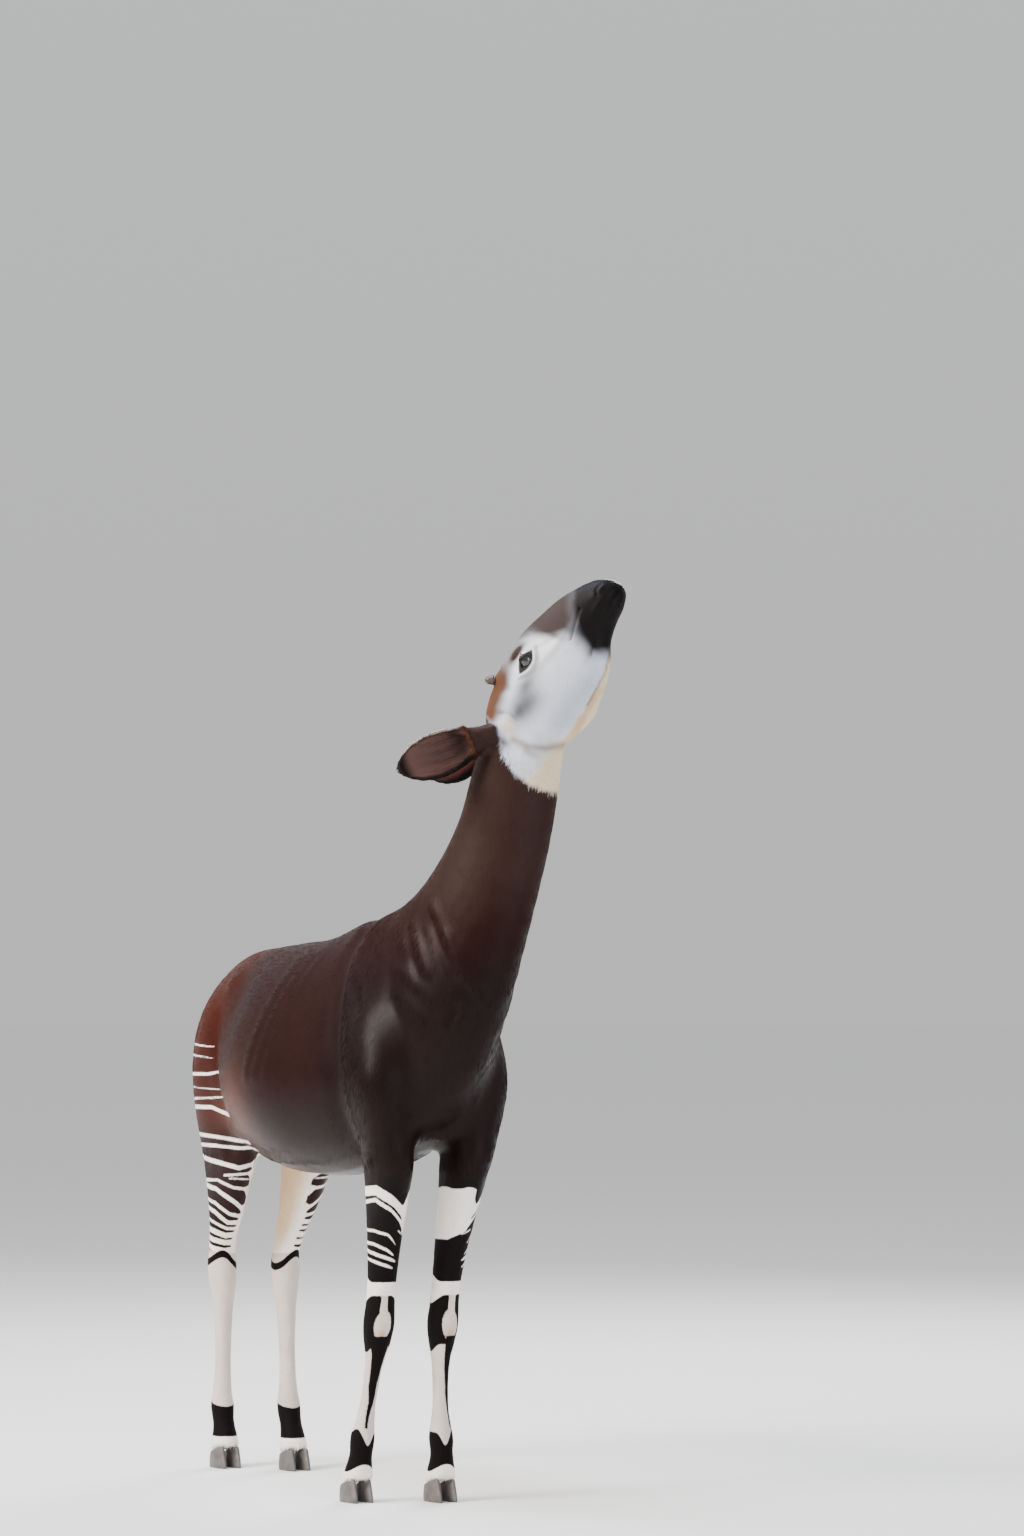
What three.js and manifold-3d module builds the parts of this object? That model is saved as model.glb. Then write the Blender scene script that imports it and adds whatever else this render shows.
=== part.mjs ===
// An adult okapi, life size, standing on four feet with its neck stretched up and its head turned to its left.
// Millimetres, +X towards the chest, +Y to the animal's left, +Z up. The hooves stand on Z = 0.
// Every fleshy form is a loft, a cylinder whose rings are moved along a line of stations.
// The lofts are joined into one body, which thin cuts then part into its named pieces.
import * as THREE from "three";
import { mergeVertices } from "three/addons/utils/BufferGeometryUtils.js";
import Module from "manifold-3d";

const wasm = await Module();
wasm.setup();

const GAP = 0.3; // between pieces that meet
const RIGHT = -1;
const LEFT = 1;
const SIDES = { right: RIGHT, left: LEFT };

// The head is modelled level with its muzzle tip at the origin, then raised and turned.
const HEAD_TURN = 52; // degrees to the animal's left
const HEAD_PITCH = 56; // degrees up
const MUZZLE_TIP = [992, 380, 2358];
const HEAD_CUT = { at: [833, 178, 1906], long: 130, wide: 92 }; // an oval across the top of the neck
const NECK_CUT = { at: [590, 45, 1375], facing: [0.66, 0.1, 0.75], size: [760, 700] };
const TAIL_CUT = { at: [-662, 0, 1310], facing: [-0.6, 0, -0.8], size: [75, 75] };
const ARM_CUT = { at: [555, 125, 885], facing: [-0.447, 0, 0.894], size: [330, 245] };
const THIGH_CUT = { at: [-420, 130, 856], facing: [0.15, 0, 0.99], size: [420, 245] };

const EYE = { radius: 23, along: -290, aside: 60, above: 75 };
const LID = 3.5; // thickness
const LID_OPENING = { long: 22, high: 13, tilt: 8 }; // half sizes, and degrees down to the front
const OSSICONE = { along: -368, aside: 36, above: 103, lean: 34, splay: 10, reach: 46, root: 21, tip: 9 };
const OSSICONE_CUT = { height: 22, size: 60 };
const EAR = { along: -478, aside: 52, above: 36, reach: 278, wall: 5, hollowFrom: 90 };
const EAR_CUT = { along: 84, size: 110 };
const EAR_TIP = [-708, 158, 184];
const EAR_OPENING = [0.25, 0.92, -0.26];
const MOUTH = { depth: 7, half: 1.7 }; // of the groove between the lips
const NOSTRIL = { along: -32, aside: 34, above: 20, half: [13, 8, 5], tilt: 35 };

// Where each foot stands, forward and aside of the middle of the body.
const FEET = {
  foreleg_right: [420, -94],
  foreleg_left: [500, 108],
  hindleg_right: [-500, -92],
  hindleg_left: [-360, 56],
};
const LEG_MIDDLE = { fore: 45, hind: 0 }; // how far the top of a pair of legs is to the left
const CORONET_HEIGHT = 51; // over the middle of the foot
const CORONET_TILT = 14.5; // degrees, lower at the heel
const CLEFT = 5; // between the two claws of a foot
const CLAW_HALF = 19;
const FOOT_BOX = [300, 300, 200]; // larger than a foot, to trim it with

// Sides round a loft and steps along it.
const FINE = {
  trunk: [24, 42],
  tail: [12, 12],
  tuft: [12, 4],
  lock: [5, 4],
  leg: [14, 36],
  claw: [14, 5],
  head: [26, 28],
  ear: [16, 11],
};
const BESIDE = 0.05; // of a station, to find which way a loft runs

const COLOURS = {
  coat: ["#35201c", 0.5, 0],
  face: ["#cfc9c8", 0.6, 0],
  shank: ["#d8cdbd", 0.6, 0],
  ear: ["#4a2e28", 0.6, 0],
  ossicone: ["#3a3536", 0.45, 0],
  eye: ["#0d0b0c", 0.08, 0],
  hoof: ["#4c4645", 0.5, 0],
  tuft: ["#1d1516", 0.6, 0],
};

function material(kind) {
  const [color, roughness, metalness] = COLOURS[kind];
  return new THREE.MeshStandardMaterial({ color, roughness, metalness });
}

// A closed geometry as a solid that can be joined and cut.
function solid(geometry, matrix) {
  const bare = geometry.clone();
  bare.deleteAttribute("normal");
  bare.deleteAttribute("uv");
  if (matrix) bare.applyMatrix4(matrix);
  const merged = mergeVertices(bare, 1e-3);
  const vertProperties = merged.attributes.position.array;
  const triVerts = new Uint32Array(merged.index.array);
  return new wasm.Manifold(new wasm.Mesh({ numProp: 3, vertProperties, triVerts }));
}

function join(solids) {
  return solids.reduce((a, b) => a.add(b));
}

// The largest closed surface of a solid, which drops scraps and sealed hollows.
function largest(made) {
  return made.decompose().reduce((a, b) => (b.volume() > a.volume() ? b : a));
}

function mesh(name, made, kind) {
  const data = largest(made).getMesh();
  const geometry = new THREE.BufferGeometry();
  geometry.setAttribute("position", new THREE.BufferAttribute(data.vertProperties, 3));
  geometry.setIndex(new THREE.BufferAttribute(data.triVerts, 1));
  geometry.computeVertexNormals();
  const piece = new THREE.Mesh(geometry, material(kind));
  piece.name = name;
  return piece;
}

// Between an ellipse at power 2, a rounded box above that and a lens below it.
function rounded(value, power) {
  return Math.sign(value) * Math.abs(value) ** (2 / power);
}

// A closed loft along rows of [x, y, z, turn, wide, up, down, upPower, downPower]. Turn is the heading of
// the section's left side, in degrees. Up is the side of the back, and the front side on a leg.
function loft(rows, sides, steps) {
  const last = rows.length - 1;
  const places = rows.map((_, i) => i);
  const reader = new THREE.CubicInterpolant(places, rows.flat(), rows[0].length);
  const read = (at) => Array.from(reader.evaluate(THREE.MathUtils.clamp(at, 0, last)));
  const shape = new THREE.CylinderGeometry(1, 1, 1, sides, steps);
  const spots = shape.attributes.position;
  const spot = new THREE.Vector3();
  for (let i = 0; i < spots.count; i++) {
    spot.fromBufferAttribute(spots, i);
    const at = (0.5 - spot.y) * last;
    const [x, y, z, turn, wide, up, down, upPower, downPower] = read(at);
    const before = new THREE.Vector3(...read(at - BESIDE));
    const along = new THREE.Vector3(...read(at + BESIDE)).sub(before).normalize();
    const heading = THREE.MathUtils.degToRad(turn);
    const left = new THREE.Vector3(-Math.sin(heading), Math.cos(heading), 0);
    left.addScaledVector(along, -left.dot(along)).normalize();
    const top = new THREE.Vector3().crossVectors(along, left);
    const power = spot.z > 0 ? upPower : downPower;
    const height = spot.z > 0 ? up : down;
    const across = rounded(spot.x, power) * wide;
    const rise = rounded(spot.z, power) * height;
    spot.set(x, y, z).addScaledVector(left, across).addScaledVector(top, rise);
    spots.setXYZ(i, spot.x, spot.y, spot.z);
  }
  return shape;
}

// A frame at a point with its own +Z along one direction and its +X as near as it can be to another.
function frameAt(point, up, forward = [1, 0, 0]) {
  const z = new THREE.Vector3(...up).normalize();
  const x = new THREE.Vector3(...forward);
  x.addScaledVector(z, -x.dot(z)).normalize();
  const y = new THREE.Vector3().crossVectors(z, x);
  return new THREE.Matrix4().makeBasis(x, y, z).setPosition(...point);
}

// A thin plate, which cuts a body in two when it is taken away.
function cut(frame, width, depth) {
  return solid(new THREE.BoxGeometry(width, depth, GAP), frame);
}

// The oval plate between head and neck, which leaves the ears beside it whole.
function headCut() {
  const plate = new THREE.CylinderGeometry(1, 1, GAP, 28, 1);
  plate.scale(HEAD_CUT.long, 1, HEAD_CUT.wide);
  plate.rotateX(Math.PI / 2);
  plate.rotateZ(THREE.MathUtils.degToRad(HEAD_TURN));
  return solid(plate.translate(...HEAD_CUT.at));
}

// The side of a frame's XY plane that its +Z points to, as a large box.
function beyond(frame, width, depth, reach, from = 0) {
  const box = new THREE.BoxGeometry(width, depth, reach);
  box.translate(0, 0, reach / 2 + from);
  return solid(box, frame);
}

// The piece of a cut body that holds a point.
function pieceAt(pieces, point) {
  const probe = solid(new THREE.OctahedronGeometry(4).translate(...point));
  return pieces.find((piece) => piece.intersect(probe).volume() > 0);
}

// Trunk and neck, from the rump to inside the head.
const TRUNK = [
  [-640, 0, 1150, 0, 30, 50, 60, 2, 2],
  [-622, 0, 1150, 0, 80, 140, 140, 2, 2],
  [-555, 0, 1155, 0, 130, 222, 230, 2, 2],
  [-440, 0, 1150, 0, 172, 284, 270, 2, 2],
  [-280, 0, 1120, 0, 208, 328, 265, 1.85, 2],
  [-100, 0, 1095, 0, 248, 360, 268, 1.75, 2],
  [80, 4, 1085, 0, 252, 378, 262, 1.7, 2.1],
  [240, 14, 1095, 0, 225, 398, 258, 1.65, 2.1],
  [390, 28, 1140, 2, 194, 402, 268, 1.65, 2.1],
  [520, 42, 1230, 6, 170, 376, 275, 1.75, 2],
  [620, 62, 1345, 12, 142, 290, 234, 1.9, 2],
  [695, 92, 1470, 20, 117, 190, 188, 2, 2],
  [755, 125, 1600, 30, 98, 146, 150, 2, 2],
  [797, 155, 1730, 40, 88, 126, 126, 2, 2],
  [822, 170, 1850, 48, 84, 116, 117, 2, 2],
  [830, 170, 1950, 52, 75, 90, 128, 2, 2],
  [842, 184, 2010, 52, 50, 45, 110, 2, 2],
];

// A left leg as rows of height, forward, aside, then half sizes aside, to the front and to the back.
const FORELEG = [
  [1440, 385, 36, 24, 30, 30],
  [1350, 425, 84, 46, 85, 80],
  [1220, 485, 132, 64, 130, 120],
  [1100, 552, 148, 74, 122, 150],
  [990, 574, 126, 74, 98, 132],
  [890, 568, 107, 63, 98, 88],
  [790, 556, 98, 53, 84, 62],
  [670, 544, 89, 43, 61, 48],
  [570, 538, 83, 38, 44, 40],
  [510, 535, 81, 39, 41, 38],
  [460, 532, 80, 42, 45, 40],
  [410, 530, 80, 35, 37, 37],
  [355, 528, 82, 23, 26, 31],
  [260, 524, 88, 20, 23, 29],
  [205, 522, 92, 25, 27, 34],
  [165, 521, 95, 33, 34, 38],
  [120, 524, 98, 30, 31, 33],
  [80, 522, 99, 37, 38, 42],
  [45, 520, 100, 40, 44, 44],
  [20, 522, 100, 38, 40, 40],
];

const HINDLEG = [
  [1370, -440, 40, 30, 50, 50],
  [1290, -445, 92, 66, 125, 105],
  [1170, -435, 118, 80, 172, 155],
  [1030, -415, 122, 80, 180, 168],
  [920, -405, 116, 72, 152, 158],
  [820, -425, 110, 60, 106, 106],
  [725, -458, 100, 49, 74, 67],
  [655, -490, 92, 40, 48, 50],
  [595, -512, 86, 36, 41, 54],
  [550, -517, 84, 41, 45, 50],
  [495, -512, 82, 36, 40, 43],
  [430, -508, 81, 27, 30, 34],
  [300, -503, 80, 22, 25, 29],
  [215, -501, 80, 26, 28, 34],
  [170, -499, 80, 33, 33, 38],
  [122, -486, 80, 30, 31, 33],
  [80, -474, 80, 36, 38, 42],
  [45, -468, 80, 40, 44, 44],
  [20, -466, 80, 38, 40, 40],
];
const LEAN_FROM = 1000; // height under which a leg leans towards its foot

// The level head as rows of along, height, then half sizes aside, above and below, and two powers.
const HEAD = [
  [-525, -12, 18, 22, 20, 2, 2],
  [-508, -10, 46, 62, 56, 2, 2],
  [-468, -5, 68, 92, 92, 2.1, 2],
  [-415, 5, 78, 108, 136, 2.2, 1.9],
  [-360, 16, 82, 110, 160, 2.3, 1.8],
  [-310, 24, 82, 113, 168, 2.4, 1.7],
  [-260, 20, 74, 116, 154, 2.3, 1.7],
  [-200, 14, 58, 111, 130, 2.1, 1.8],
  [-140, 12, 49, 98, 88, 2, 2],
  [-85, 6, 46, 78, 64, 2, 2.1],
  [-42, 0, 44, 58, 48, 2.1, 2.2],
  [-14, -4, 34, 36, 34, 2.1, 2.2],
  [0, -5, 14, 14, 14, 2, 2],
];

// The rows of one leg, leaning evenly from its top down to where the foot stands.
function legRows(name) {
  const side = name.endsWith("left") ? LEFT : RIGHT;
  const fore = name.startsWith("fore");
  const stations = fore ? FORELEG : HINDLEG;
  const middle = fore ? LEG_MIDDLE.fore : LEG_MIDDLE.hind;
  const [footX, footY] = FEET[name];
  const [, soleX, soleY] = stations.at(-1);
  return stations.map(([z, x, y, aside, front, back]) => {
    const lean = THREE.MathUtils.clamp((LEAN_FROM - z) / LEAN_FROM, 0, 1);
    const forward = x + (footX - soleX) * lean;
    const across = middle + side * y + (footY - middle - side * soleY) * lean;
    return [forward, across, z, 0, aside, front, back, 2, 2];
  });
}

// The plane between the skin of a foot and its horn, rising towards the toe.
function coronet([x, y]) {
  const tilt = THREE.MathUtils.degToRad(CORONET_TILT);
  return frameAt([x, y, CORONET_HEIGHT], [-Math.sin(tilt), 0, Math.cos(tilt)]);
}

// One claw, blunt at the heel and pointed at the toe, cut flat on the ground and under the skin.
function claw(foot, side) {
  const [x, y] = foot;
  const across = y + side * (CLAW_HALF + CLEFT / 2);
  const rows = [
    [x - 8, across, 100, 0, CLAW_HALF - 4, 32, 34, 1.6, 2],
    [x - 2, across, 60, 0, CLAW_HALF - 1.5, 40, 40, 1.5, 2],
    [x, across, 30, 0, CLAW_HALF, 49, 44, 1.45, 2],
    [x + 2, across, 0, 0, CLAW_HALF, 56, 45, 1.4, 2],
    [x + 3, across, -20, 0, CLAW_HALF, 60, 45, 1.4, 2],
  ];
  const horn = solid(loft(rows, ...FINE.claw));
  const skin = beyond(coronet(foot), ...FOOT_BOX, -GAP);
  const ground = beyond(new THREE.Matrix4().makeTranslation(x, y, 0), ...FOOT_BOX);
  return horn.subtract(skin).intersect(ground);
}

// The shape of the head, or a core that lies inside its skin by some depth.
function headShape(inside = 0) {
  const rows = HEAD.map(([along, height, wide, up, down, upPower, downPower]) => {
    const shorter = along * (1 - inside / -HEAD[0][0]) - inside;
    return [shorter, 0, height, 0, wide - inside, up - inside, down - inside, upPower, downPower];
  });
  return solid(loft(rows, ...FINE.head));
}

const headFrame = new THREE.Matrix4()
  .makeTranslation(...MUZZLE_TIP)
  .multiply(new THREE.Matrix4().makeRotationZ(THREE.MathUtils.degToRad(HEAD_TURN)))
  .multiply(new THREE.Matrix4().makeRotationY(-THREE.MathUtils.degToRad(HEAD_PITCH)));

// A solid of the level head, put in its place on the neck.
function onNeck(made) {
  return made.transform(headFrame.toArray());
}

function eyePlace(side) {
  return new THREE.Matrix4().makeTranslation(EYE.along, side * EYE.aside, EYE.above);
}

function eyeball(side, radius) {
  return solid(new THREE.SphereGeometry(radius, 18, 12), eyePlace(side));
}

// Upper and lower lid, one shell over the eyeball with a pointed oval opening.
function lids(side) {
  const opening = new THREE.CylinderGeometry(1, 1, 80, 18, 1);
  opening.scale(LID_OPENING.long, 1, LID_OPENING.high);
  opening.rotateY(THREE.MathUtils.degToRad(LID_OPENING.tilt));
  opening.translate(0, side * 50, 0);
  return eyeball(side, EYE.radius + LID).subtract(solid(opening, eyePlace(side)));
}

// The frame of an ossicone at some height over its root, with +Z along it.
function ossiconeFrame(side, height = 0) {
  const lean = THREE.MathUtils.degToRad(OSSICONE.lean);
  const splay = THREE.MathUtils.degToRad(OSSICONE.splay);
  const up = new THREE.Vector3(-Math.sin(lean), side * Math.sin(splay), Math.cos(lean)).normalize();
  const root = new THREE.Vector3(OSSICONE.along, side * OSSICONE.aside, OSSICONE.above);
  return frameAt(root.addScaledVector(up, height).toArray(), up.toArray());
}

// A short blunt knob of bone under skin, wide at its root and leaning back.
function ossiconeShape(side) {
  const knob = new THREE.CapsuleGeometry(OSSICONE.tip, OSSICONE.reach - 2 * OSSICONE.tip, 4, 14, 3);
  knob.rotateX(Math.PI / 2);
  knob.translate(0, 0, OSSICONE.reach / 2);
  const spots = knob.attributes.position;
  for (let i = 0; i < spots.count; i++) {
    const height = THREE.MathUtils.clamp(spots.getZ(i) / OSSICONE.reach, 0, 1);
    const swell = THREE.MathUtils.lerp(OSSICONE.root / OSSICONE.tip, 1, height ** 0.7);
    spots.setXY(i, spots.getX(i) * swell, spots.getY(i) * swell);
  }
  return solid(knob, ossiconeFrame(side));
}

// The frame of an ear, its +X out to the tip and its +Z over the closed back of the cup.
function earFrame(side) {
  const root = new THREE.Vector3(EAR.along, side * EAR.aside, EAR.above);
  const tip = new THREE.Vector3(EAR_TIP[0], side * EAR_TIP[1], EAR_TIP[2]);
  const out = tip.clone().sub(root);
  const back = new THREE.Vector3(-EAR_OPENING[0], -side * EAR_OPENING[1], -EAR_OPENING[2]);
  back.addScaledVector(out, -back.dot(out) / out.lengthSq());
  return frameAt(root.toArray(), back.toArray(), out.toArray());
}

// Rows of an ear's outer skin, as a share of its reach and half sizes aside, at the back and at the rim.
const EAR_ROWS = [
  [0, 26, 28, 28],
  [0.16, 30, 34, 26],
  [0.32, 44, 40, 20],
  [0.48, 56, 38, 15],
  [0.64, 60, 33, 12],
  [0.8, 51, 25, 10],
  [0.92, 32, 16, 7],
  [1, 8, 6, 4],
];

function earShape(side) {
  const outer = EAR_ROWS.map(([share, wide, back, rim]) => [share * EAR.reach, 0, 0, 0, wide, back, rim, 2, 2]);
  const hollow = outer.filter(([along]) => along > EAR.hollowFrom + 30 && along < EAR.reach - 1);
  const inner = hollow.map(([along, , , , wide, back]) => [along, wide - EAR.wall, back - EAR.wall]);
  inner.unshift([EAR.hollowFrom, 20, 12], [EAR.hollowFrom + 16, 33, 24]);
  inner.push([EAR.reach - 9, 10, 3]);
  const cutter = inner.map(([along, wide, back]) => [along, 0, 0, 0, wide, back, 90, 2, 4]);
  const cup = solid(loft(outer, ...FINE.ear)).subtract(solid(loft(cutter, ...FINE.ear)));
  return cup.transform(earFrame(side).toArray());
}

// The frame across the root of an ear, with its +Z out to the tip.
function earRoot(side) {
  return earFrame(side).multiply(frameAt([EAR_CUT.along, 0, 0], [1, 0, 0], [0, 0, 1]));
}

// The line of the mouth, from under the muzzle tip to its corner.
function mouthGroove() {
  const line = new THREE.CatmullRomCurve3([
    new THREE.Vector3(30, -14, 0),
    new THREE.Vector3(-8, -17, 0),
    new THREE.Vector3(-60, -26, 0),
    new THREE.Vector3(-126, -37, 0),
    new THREE.Vector3(-168, -56, 0),
  ]);
  const upper = line.getPoints(12).map((at) => new THREE.Vector2(at.x, at.y + MOUTH.half));
  const lower = line.getPoints(12).map((at) => new THREE.Vector2(at.x, at.y - MOUTH.half));
  const outline = new THREE.Shape([...upper, ...lower.reverse()]);
  const slab = new THREE.ExtrudeGeometry(outline, { depth: 200, bevelEnabled: false });
  slab.translate(0, 0, -100);
  slab.rotateX(Math.PI / 2);
  return solid(slab).subtract(headShape(MOUTH.depth));
}

function nostril(side) {
  const hole = new THREE.SphereGeometry(1, 14, 8);
  hole.scale(...NOSTRIL.half);
  hole.rotateY(-THREE.MathUtils.degToRad(NOSTRIL.tilt));
  return solid(hole.translate(NOSTRIL.along, side * NOSTRIL.aside, NOSTRIL.above));
}

const sides = Object.values(SIDES);
let head = join([headShape(), ...sides.map(ossiconeShape), ...sides.map(earShape)]);
head = join([head, ...sides.map(lids)]);
head = sides.reduce((made, side) => made.subtract(eyeball(side, EYE.radius + GAP)), head);
head = sides.reduce((made, side) => made.subtract(nostril(side)), head).subtract(mouthGroove());
for (const side of sides) {
  const across = ossiconeFrame(side, OSSICONE_CUT.height);
  head = head.subtract(cut(across, OSSICONE_CUT.size, OSSICONE_CUT.size));
  head = head.subtract(cut(earRoot(side), EAR_CUT.size, EAR_CUT.size));
}

// The tail hangs close behind the rump, and its last third is a tuft of hair.
const TAIL = [
  [-560, 0, 1372, 0, 28, 30, 30, 2, 2],
  [-618, 0, 1352, 0, 28, 28, 28, 2, 2],
  [-668, 0, 1300, 0, 21, 21, 21, 2, 2],
  [-688, 0, 1215, 0, 16, 16, 16, 2, 2],
  [-692, 0, 1110, 0, 13, 13, 13, 2, 2],
  [-690, 0, 1000, 0, 12, 12, 12, 2, 2],
];
const TUFT = { top: 1000, core: 60, reach: 165, locks: 14, rings: 2, spread: 16, wide: 9, thick: 4 };
const LOCK_SHARES = [0, 0.3, 0.6, 0.85, 1];

// Flat locks in rings round a short core, each bending down and tapering to its tip.
function tailTuft() {
  const [x, y] = TAIL.at(-1);
  const core = [
    [x, y, TUFT.top - GAP, 0, 12, 12, 12, 2, 2],
    [x, y, TUFT.top - TUFT.core / 2, 0, 14, 14, 14, 2, 2],
    [x, y, TUFT.top - TUFT.core, 0, 8, 8, 8, 2, 2],
  ];
  const locks = [];
  for (let i = 0; i < TUFT.locks; i++) {
    const ring = i % TUFT.rings;
    const angle = (i / TUFT.locks) * 2 * Math.PI;
    const reach = TUFT.reach * (1 - 0.16 * ring - 0.1 * Math.abs(Math.sin(3 * angle)));
    const top = TUFT.top - 22 - 14 * ring;
    const rows = LOCK_SHARES.map((share) => {
      const out = 7 + TUFT.spread * Math.sin(share * 2.2) * (1 - 0.35 * ring);
      const wide = TUFT.wide * (1 - share) ** 0.7 + 1.2;
      const thick = TUFT.thick * (1 - 0.75 * share);
      const forward = x + Math.cos(angle) * out;
      const across = y + Math.sin(angle) * out;
      return [forward, across, top - reach * share, (angle * 180) / Math.PI, wide, thick, thick, 2, 2];
    });
    locks.push(solid(loft(rows, ...FINE.lock)));
  }
  return join([solid(loft(core, ...FINE.tuft)), ...locks]);
}

const trunk = solid(loft(TRUNK, ...FINE.trunk));
const tail = solid(loft(TAIL, ...FINE.tail));
const legs = Object.keys(FEET).map((name) => {
  const under = coronet(FEET[name]).multiply(new THREE.Matrix4().makeRotationX(Math.PI));
  return solid(loft(legRows(name), ...FINE.leg)).subtract(beyond(under, ...FOOT_BOX));
});

let whole = join([trunk, tail, onNeck(head), ...legs]);
const plates = [headCut()];
for (const { at, facing, size } of [NECK_CUT, TAIL_CUT]) plates.push(cut(frameAt(at, facing), ...size));
for (const name of Object.keys(FEET)) {
  const side = name.endsWith("left") ? LEFT : RIGHT;
  const fore = name.startsWith("fore");
  const { at, facing, size } = fore ? ARM_CUT : THIGH_CUT;
  const [x, y, z] = at;
  const middle = fore ? LEG_MIDDLE.fore : LEG_MIDDLE.hind;
  plates.push(cut(frameAt([x, middle + side * y, z], facing), ...size));
}
whole = plates.reduce((made, plate) => made.subtract(plate), whole);
const pieces = whole.decompose();

const okapi = new THREE.Group();
const onHead = (at) => new THREE.Vector3(...at).applyMatrix4(headFrame).toArray();
const take = (name, at, kind) => okapi.add(mesh(name, pieceAt(pieces, at), kind));
take("head", onHead([-200, 0, 20]), "face");
take("neck", [760, 128, 1600], "coat");
take("torso", [0, 0, 1100], "coat");
take("tail", [-692, 0, 1110], "coat");
okapi.add(mesh("tail_tuft", tailTuft(), "tuft"));
for (const [word, side] of Object.entries(SIDES)) {
  const earWall = new THREE.Vector3(EAR.reach / 2, 0, 35).applyMatrix4(earFrame(side)).toArray();
  const knob = new THREE.Vector3(0, 0, OSSICONE.reach - 10).applyMatrix4(ossiconeFrame(side)).toArray();
  take(`ear_${word}`, onHead(earWall), "ear");
  take(`ossicone_${word}`, onHead(knob), "ossicone");
  okapi.add(mesh(`eye_${word}`, onNeck(eyeball(side, EYE.radius)), "eye"));
}
for (const [name, foot] of Object.entries(FEET)) {
  const outward = name.endsWith("left") ? LEFT : RIGHT;
  const knee = legRows(name).find(([, , z]) => z < 600);
  take(name, knee.slice(0, 3), "shank");
  okapi.add(mesh(`${name}_claw_outer`, claw(foot, outward), "hoof"));
  okapi.add(mesh(`${name}_claw_inner`, claw(foot, -outward), "hoof"));
}

// The origin is under the middle of the whole animal, on the ground.
const box = new THREE.Box3().setFromObject(okapi);
okapi.position.set(-(box.min.x + box.max.x) / 2, -(box.min.y + box.max.y) / 2, 0);
export default okapi;
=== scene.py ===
"""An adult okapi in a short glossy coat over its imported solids: one skin, ears, eyes, horn and tufts."""

import math

import bmesh
import bpy
import numpy as np
from mathutils import Matrix, Vector


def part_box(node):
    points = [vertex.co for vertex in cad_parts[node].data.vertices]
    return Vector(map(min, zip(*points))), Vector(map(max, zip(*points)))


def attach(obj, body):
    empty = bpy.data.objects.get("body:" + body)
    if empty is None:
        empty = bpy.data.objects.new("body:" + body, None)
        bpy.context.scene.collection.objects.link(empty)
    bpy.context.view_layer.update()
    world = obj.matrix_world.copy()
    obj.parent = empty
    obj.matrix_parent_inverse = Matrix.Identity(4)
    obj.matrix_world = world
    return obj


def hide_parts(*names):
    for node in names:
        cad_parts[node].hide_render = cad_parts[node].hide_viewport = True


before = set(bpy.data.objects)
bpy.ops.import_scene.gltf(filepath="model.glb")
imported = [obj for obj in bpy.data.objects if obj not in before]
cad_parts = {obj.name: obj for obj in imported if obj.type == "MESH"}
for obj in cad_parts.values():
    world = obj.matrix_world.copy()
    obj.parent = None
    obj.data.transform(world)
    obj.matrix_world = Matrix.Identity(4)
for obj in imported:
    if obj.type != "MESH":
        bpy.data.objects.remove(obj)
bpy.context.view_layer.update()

bl_info = {
    "name": "Okapi Dresser",
    "version": (1, 0, 0),
    "blender": (4, 5, 0),
    "location": "View3D > Sidebar > Okapi",
    "description": "Dresses the solids of a standing okapi in skin, coat, eyes and horn",
    "category": "Object",
}

FLESH = ["head", "neck", "torso", "tail", "foreleg_left", "foreleg_right", "hindleg_left", "hindleg_right"]
LEGS = ["foreleg_left", "foreleg_right", "hindleg_left", "hindleg_right"]
SIDES = {"left": 1, "right": -1}

# The head's own frame: X out to the muzzle tip, Y to its left, Z over the brow, in millimetres.
HEAD_TURN = math.radians(52)
HEAD_PITCH = math.radians(56)
EYE_AT = Vector((-290, 60, 75))
EYE_RADIUS = 23
# The middle of the opening between the lids from the middle of the eye, and its rise towards the muzzle.
LID_AT = (-4, -4)
LID_TILT = 8


def centre_of(node):
    low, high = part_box(node)
    return (Vector(low) + Vector(high)) / 2


def head_frame():
    """Places the head's frame by the two eyes, in metres."""
    turn = Matrix.Rotation(HEAD_TURN, 3, "Z") @ Matrix.Rotation(-HEAD_PITCH, 3, "Y")
    middle = (centre_of("eye_left") + centre_of("eye_right")) / 2
    tip = middle - turn @ Vector((EYE_AT.x, 0, EYE_AT.z)) / 1000
    return Matrix.Translation(tip) @ turn.to_4x4()


HEAD = head_frame()
HEAD_AXES = np.array(HEAD.to_3x3())
HEAD_TIP = np.array(HEAD.translation)
# The body's own frame has the sole of the left fore foot this far forward and to the left, in metres.
FORE_AHEAD = 0.5075
FORE_ASIDE = 0.108
FORE_SOLE = (centre_of("foreleg_left_claw_outer") + centre_of("foreleg_left_claw_inner")) / 2
BODY_SHIFT = Vector((FORE_AHEAD - FORE_SOLE.x, FORE_ASIDE - FORE_SOLE.y, 0))


def linear(hex_colour):
    """An sRGB hex colour as linear red, green, blue and a full alpha."""
    parts = [int(hex_colour[i : i + 2], 16) / 255 for i in (1, 3, 5)]
    out = [c / 12.92 if c <= 0.04045 else ((c + 0.055) / 1.055) ** 2.4 for c in parts]
    return (*out, 1.0)


def colour_prop(name, description, hex_colour):
    return bpy.props.FloatVectorProperty(
        name=name, description=description, subtype="COLOR", size=4, min=0, max=1, default=linear(hex_colour)
    )


def length_prop(name, description, millimetres):
    return bpy.props.FloatProperty(
        name=name, description=description, subtype="DISTANCE", unit="LENGTH", default=millimetres / 1000
    )


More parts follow.
